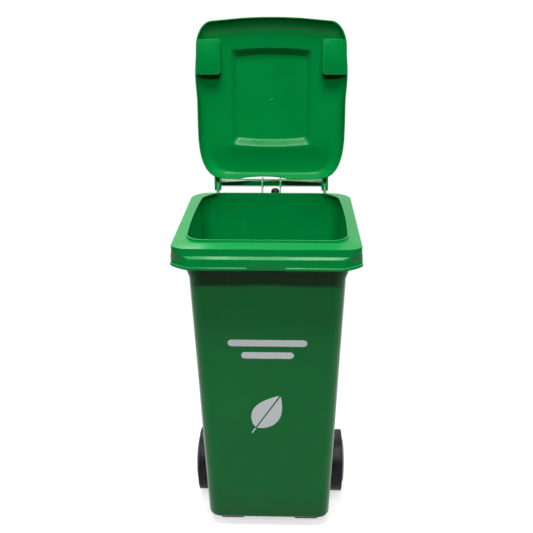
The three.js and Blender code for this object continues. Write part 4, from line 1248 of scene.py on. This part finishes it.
def fit_range(tree, value, low, high, to_low=0.0, to_high=1.0):
    ends = {"Value": value, "From Min": low, "From Max": high, "To Min": to_low, "To Max": to_high}
    return add_node(tree, "ShaderNodeMapRange", ends).outputs["Result"]


def add_spots(tree, grain):
    return fit_range(tree, add_noise(tree, grain), grain.start, grain.full, grain.low, grain.high)


def times(tree, first, second):
    factors = {0: first, 1: second}
    return add_node(tree, "ShaderNodeMath", factors, operation="MULTIPLY").outputs[0]


def mix_color(tree, share, first, second):
    """Mixes towards the second colour; each may be a colour or the output of another mix."""
    node = add_node(tree, "ShaderNodeMix", {}, data_type="RGBA")
    tree.links.new(share, node.inputs["Factor"])
    for name, color in (("A", first), ("B", second)):
        socket = next(i for i in node.inputs if i.name == name and i.type == "RGBA")
        if isinstance(color, tuple):
            socket.default_value = (*color, 1)
        else:
            tree.links.new(color, socket)
    return next(o for o in node.outputs if o.type == "RGBA")


def find_edges(tree, edge):
    """Rises to its peak on sharp edges, by how far a rounded normal leaves the true one."""
    bevel = add_node(tree, "ShaderNodeBevel", {"Radius": edge.radius}, samples=EDGE_SAMPLES)
    true = add_node(tree, "ShaderNodeNewGeometry", {})
    normals = {0: bevel.outputs["Normal"], 1: true.outputs["Normal"]}
    turn = add_node(tree, "ShaderNodeVectorMath", normals, operation="DOT_PRODUCT")
    return fit_range(tree, turn.outputs["Value"], *EDGE_TURNS, 0, edge.peak)


def add_share(tree, factors):
    share = None
    for factor in factors:
        found = find_edges(tree, factor) if isinstance(factor, Edge) else add_spots(tree, factor)
        share = times(tree, share, found) if share else found
    return share


def make_material(name, look):
    """Lays each layer over the colour by its share, and chains the bumps."""
    material, tree, shader = new_material(name)
    used = dict.fromkeys(row[0] for row in (*look.layers, *look.bumps))
    shares = {factors: add_share(tree, factors) for factors in used}
    color, bump = look.color, {}
    for factors, over in look.layers:
        color = mix_color(tree, shares[factors], color, over)
    for factors, strength, depth in look.bumps:
        bump.update({"Height": shares[factors], "Strength": strength, "Distance": depth})
        bump["Normal"] = add_node(tree, "ShaderNodeBump", bump).outputs["Normal"]
    values = {"Base Color": color, "Roughness": add_spots(tree, look.gloss), "Normal": bump["Normal"]}
    feed(tree, shader, values | look.values)
    return material


def moulding(color, pale, deep, low, high, specular):
    """Moulded plastic: cloudy colour, fine scratches, rubbed edges and a faint spark texture."""
    layers = ((CLOUDS, deep), (RUBBED, pale), (WORN, pale))
    values = {"Specular IOR Level": specular}
    return Look(color, layers, GLOSS._replace(low=low, high=high), MOULDING_BUMPS, values)


GREEN_COLORS = ((0, 0.200, 0.037), (0.06, 0.33, 0.14), (0, 0.160, 0.030))
BLACK_COLORS = ((0.012, 0.010, 0.016), (0.05, 0.046, 0.055), (0.008, 0.007, 0.010))
GREY_COLORS = ((0.15, 0.15, 0.16), (0.30, 0.30, 0.31), (0.10, 0.10, 0.11))
LOOKS = {
    GREEN: moulding(*GREEN_COLORS, 0.15, 0.27, 0.14),
    BLACK: moulding(*BLACK_COLORS, 0.31, 0.43, 0.4),
    GREY: moulding(*GREY_COLORS, 0.40, 0.52, 0.4),
    # Matt rubber, with pale dust that settles on its roughest places, and a painted highlight
    # of pale purple-grey along its sharp edges, most on the tread blocks
    RUBBER: Look(
        (0.0060, 0.0045, 0.0095),
        (
            (RUBBER_CLOUDS, (0.0110, 0.0085, 0.0160)),
            (DUST, (0.032, 0.028, 0.038)),
            # Painted highlight: pale purple-grey on the sharp edges, where the tread blocks would
            # catch the light
            ((Edge(0.0008, 0.60),), (0.130, 0.115, 0.160)),
        ),
        Grain(60.0, 4.0, 0.3, 0.7, 0.30, 0.48),
        ((DUST, 0.3, 0.0002), (RUBBER_GRAIN, 0.25, 0.0001)),
        MATT,
    ),
    # Zinc-plated steel with fine turning lines and dull patches
    STEEL: Look(
        (0.56, 0.57, 0.58),
        ((DULL, (0.40, 0.41, 0.44)), ((Edge(0.0008, 0.5),), (0.68, 0.69, 0.70))),
        DULL[0]._replace(low=0.24, high=0.42),
        ((TURNING_LINES, 0.2, 0.0001),),
        {"Metallic": 1.0},
    ),
    # Printed film, a little thin and greyed in places
    PRINT: Look(
        (0.88, 0.92, 0.94),
        ((THIN, (0.70, 0.82, 0.78)),),
        Grain(40.0, 3.0, 0.3, 0.7, 0.42, 0.58),
        ((SPARK, 0.1, 0.0001),),
        MATT,
    ),
}


# Stage
def take_path(tree):
    """Adds a socket that is 1 for what the camera sees straight, in gloss or through glass."""
    path = add_node(tree, "ShaderNodeLightPath", {}).outputs
    seen = path["Is Camera Ray"]
    for kind in ("Is Glossy Ray", "Is Transmission Ray"):
        either = {0: seen, 1: path[kind]}
        seen = add_node(tree, "ShaderNodeMath", either, operation="MAXIMUM").outputs[0]
    return seen


def mix_shaders(tree, share, first, second):
    inputs = {"Fac": share, 1: first.outputs[0], 2: second.outputs[0]}
    return add_node(tree, "ShaderNodeMixShader", inputs)


def show(tree, node, end="Material Output"):
    tree.links.new(node.outputs[0], tree.nodes[end].inputs["Surface"])


def start_card(name, look, size):
    """Flat square of the stage, with a material of its own that has no shader yet."""
    start_clean()
    bpy.ops.mesh.primitive_plane_add(size=size, location=(0, 0, 0))
    card = name_piece(name)
    material, tree, shader = new_material(look)
    tree.nodes.remove(shader)
    card.data.materials.append(material)
    return card, tree


def make_stage():
    """Floor that is lit and takes shadow near the bin, and is plain white further off."""
    floor, tree = start_card("floor", "pale_floor", FLOOR_SIZE)
    lit = add_node(tree, "ShaderNodeBsdfDiffuse", {"Color": FLOOR_COLOR})
    white = add_node(tree, "ShaderNodeEmission", {"Strength": 1.0})
    dark = add_node(tree, "ShaderNodeBsdfDiffuse", {"Color": UNSEEN_COLOR})
    place = add_node(tree, "ShaderNodeNewGeometry", {}).outputs["Position"]
    far = add_node(tree, "ShaderNodeVectorMath", {0: place}, operation="LENGTH").outputs["Value"]
    ends = {"Value": far, "From Min": SHADOW_NEAR, "From Max": SHADOW_FAR, "To Min": FLOOR_GLOW}
    fade = add_node(tree, "ShaderNodeMapRange", ends, interpolation_type="SMOOTHSTEP")
    shown = mix_shaders(tree, fade.outputs["Result"], lit, white)
    show(tree, mix_shaders(tree, take_path(tree), dark, shown))


def make_flag(name, middle, width, turn):
    """Upright dark card beside or behind the camera that only gloss shows, as in a photo studio."""
    card, tree = start_card(name, name, 1)
    size = Matrix.Diagonal((width, FLAG_HEIGHT, 1, 1))
    upright = rotation(turn, "Z") @ rotation(90, "X")
    card.data.transform(Matrix.Translation(middle) @ upright @ size)
    clear = add_node(tree, "ShaderNodeBsdfTransparent", {})
    black = add_node(tree, "ShaderNodeBsdfDiffuse", {"Color": FLAG_COLOR})
    glossy = add_node(tree, "ShaderNodeLightPath", {}).outputs["Is Glossy Ray"]
    show(tree, mix_shaders(tree, glossy, clear, black))


def make_flags():
    middle = FLAG_HEIGHT / 2
    make_flag("front_flag", (0, FLAG_FRONT, middle), FLAG_HALF * 2, 0)
    for side in (-1, 1):
        place = (side * FLAG_HALF, (FLAG_FRONT + FLAG_REAR) / 2, middle)
        make_flag(f"side_flag_{side}", place, FLAG_REAR - FLAG_FRONT, 90)


def make_world():
    """White to the camera and in gloss; as light, bright from high in front and dark elsewhere."""
    world = bpy.data.worlds.new("studio")
    bpy.context.scene.world = world
    world.use_nodes = True
    tree = world.node_tree
    place = add_node(tree, "ShaderNodeTexCoord", {}).outputs["Generated"]
    sides = {0: place, 1: SKY_LEAN}
    facing = add_node(tree, "ShaderNodeVectorMath", sides, operation="DOT_PRODUCT")
    share = fit_range(tree, facing.outputs["Value"], -1, 1)
    ramp = add_node(tree, "ShaderNodeValToRGB", {"Fac": share})
    stops = ramp.color_ramp.elements
    while len(stops) < len(SKY_STOPS):
        stops.new(1 / 2)
    for stop, (at, level) in zip(stops, SKY_STOPS):
        stop.position = at
        stop.color = (level, level, level, 1)
    light = tree.nodes["Background"]
    feed(tree, light, {"Color": ramp.outputs["Color"], "Strength": 1.0})
    white = add_node(tree, "ShaderNodeBackground", {"Color": SKY_COLOR, "Strength": 1.0})
    show(tree, mix_shaders(tree, take_path(tree), light, white), "World Output")


def make_lamp(name, place, aim, width, height, power):
    data = bpy.data.lights.new(name, "AREA")
    data.shape = "RECTANGLE"
    data.size = width
    data.size_y = height
    data.energy = power
    lamp = bpy.data.objects.new(name, data)
    bpy.context.scene.collection.objects.link(lamp)
    lamp.location = place
    lamp.rotation_euler = (Vector(aim) - Vector(place)).to_track_quat("-Z", "Y").to_euler()


def make_camera():
    data = bpy.data.cameras.new("camera")
    data.sensor_width = SENSOR_MILLIMETRES
    data.lens = FOCAL_PIXELS / IMAGE_SIZE * SENSOR_MILLIMETRES
    camera = bpy.data.objects.new("camera", data)
    bpy.context.scene.collection.objects.link(camera)
    heading = rotation(-CAMERA_YAW, "Z") @ rotation(90 - CAMERA_PITCH, "X")
    turn = heading @ rotation(CAMERA_ROLL, "Z")
    camera.matrix_world = Matrix.Translation(CAMERA_PLACE) @ turn
    bpy.context.scene.camera = camera


make_camera()
make_world()
make_stage()
make_flags()
for name, values in LAMPS.items():
    make_lamp(name, *values)
MATERIALS = {name: make_material(name, look) for name, look in LOOKS.items()}

make_shell()
make_shelf()
make_bar()
make_lid()
make_gate()
for number, (z, width) in enumerate(PRINT_BARS):
    make_print_bar(number, z, width)
make_leaf()
for hand, side in (("left", -1), ("right", 1)):
    make_gusset(f"{hand}_gusset", side * GUSSET_X)
    make_foot(f"{hand}_foot", side * FOOT_X)
    make_ear(f"{hand}_ear", side)
    make_web(f"{hand}_web", side * WEB_X)
    outer = side * BRACKET_OUTER_X
    make_bracket(f"{hand}_outer_bracket", outer - side * BRACKET_WIDTH, outer)
    inner = side * INNER_BRACKET_X
    make_bracket(f"{hand}_inner_bracket", inner, inner + side * INNER_BRACKET_WALL)
    make_arm(f"{hand}_arm", side)
    for make in (make_pin, make_bush, make_spacer, make_hub, make_nut, make_cover):
        make(hand, side)
make_dome()
make_axle()
make_tyre()

bpy.context.scene.view_settings.view_transform = "Standard"
bpy.context.view_layer.update()
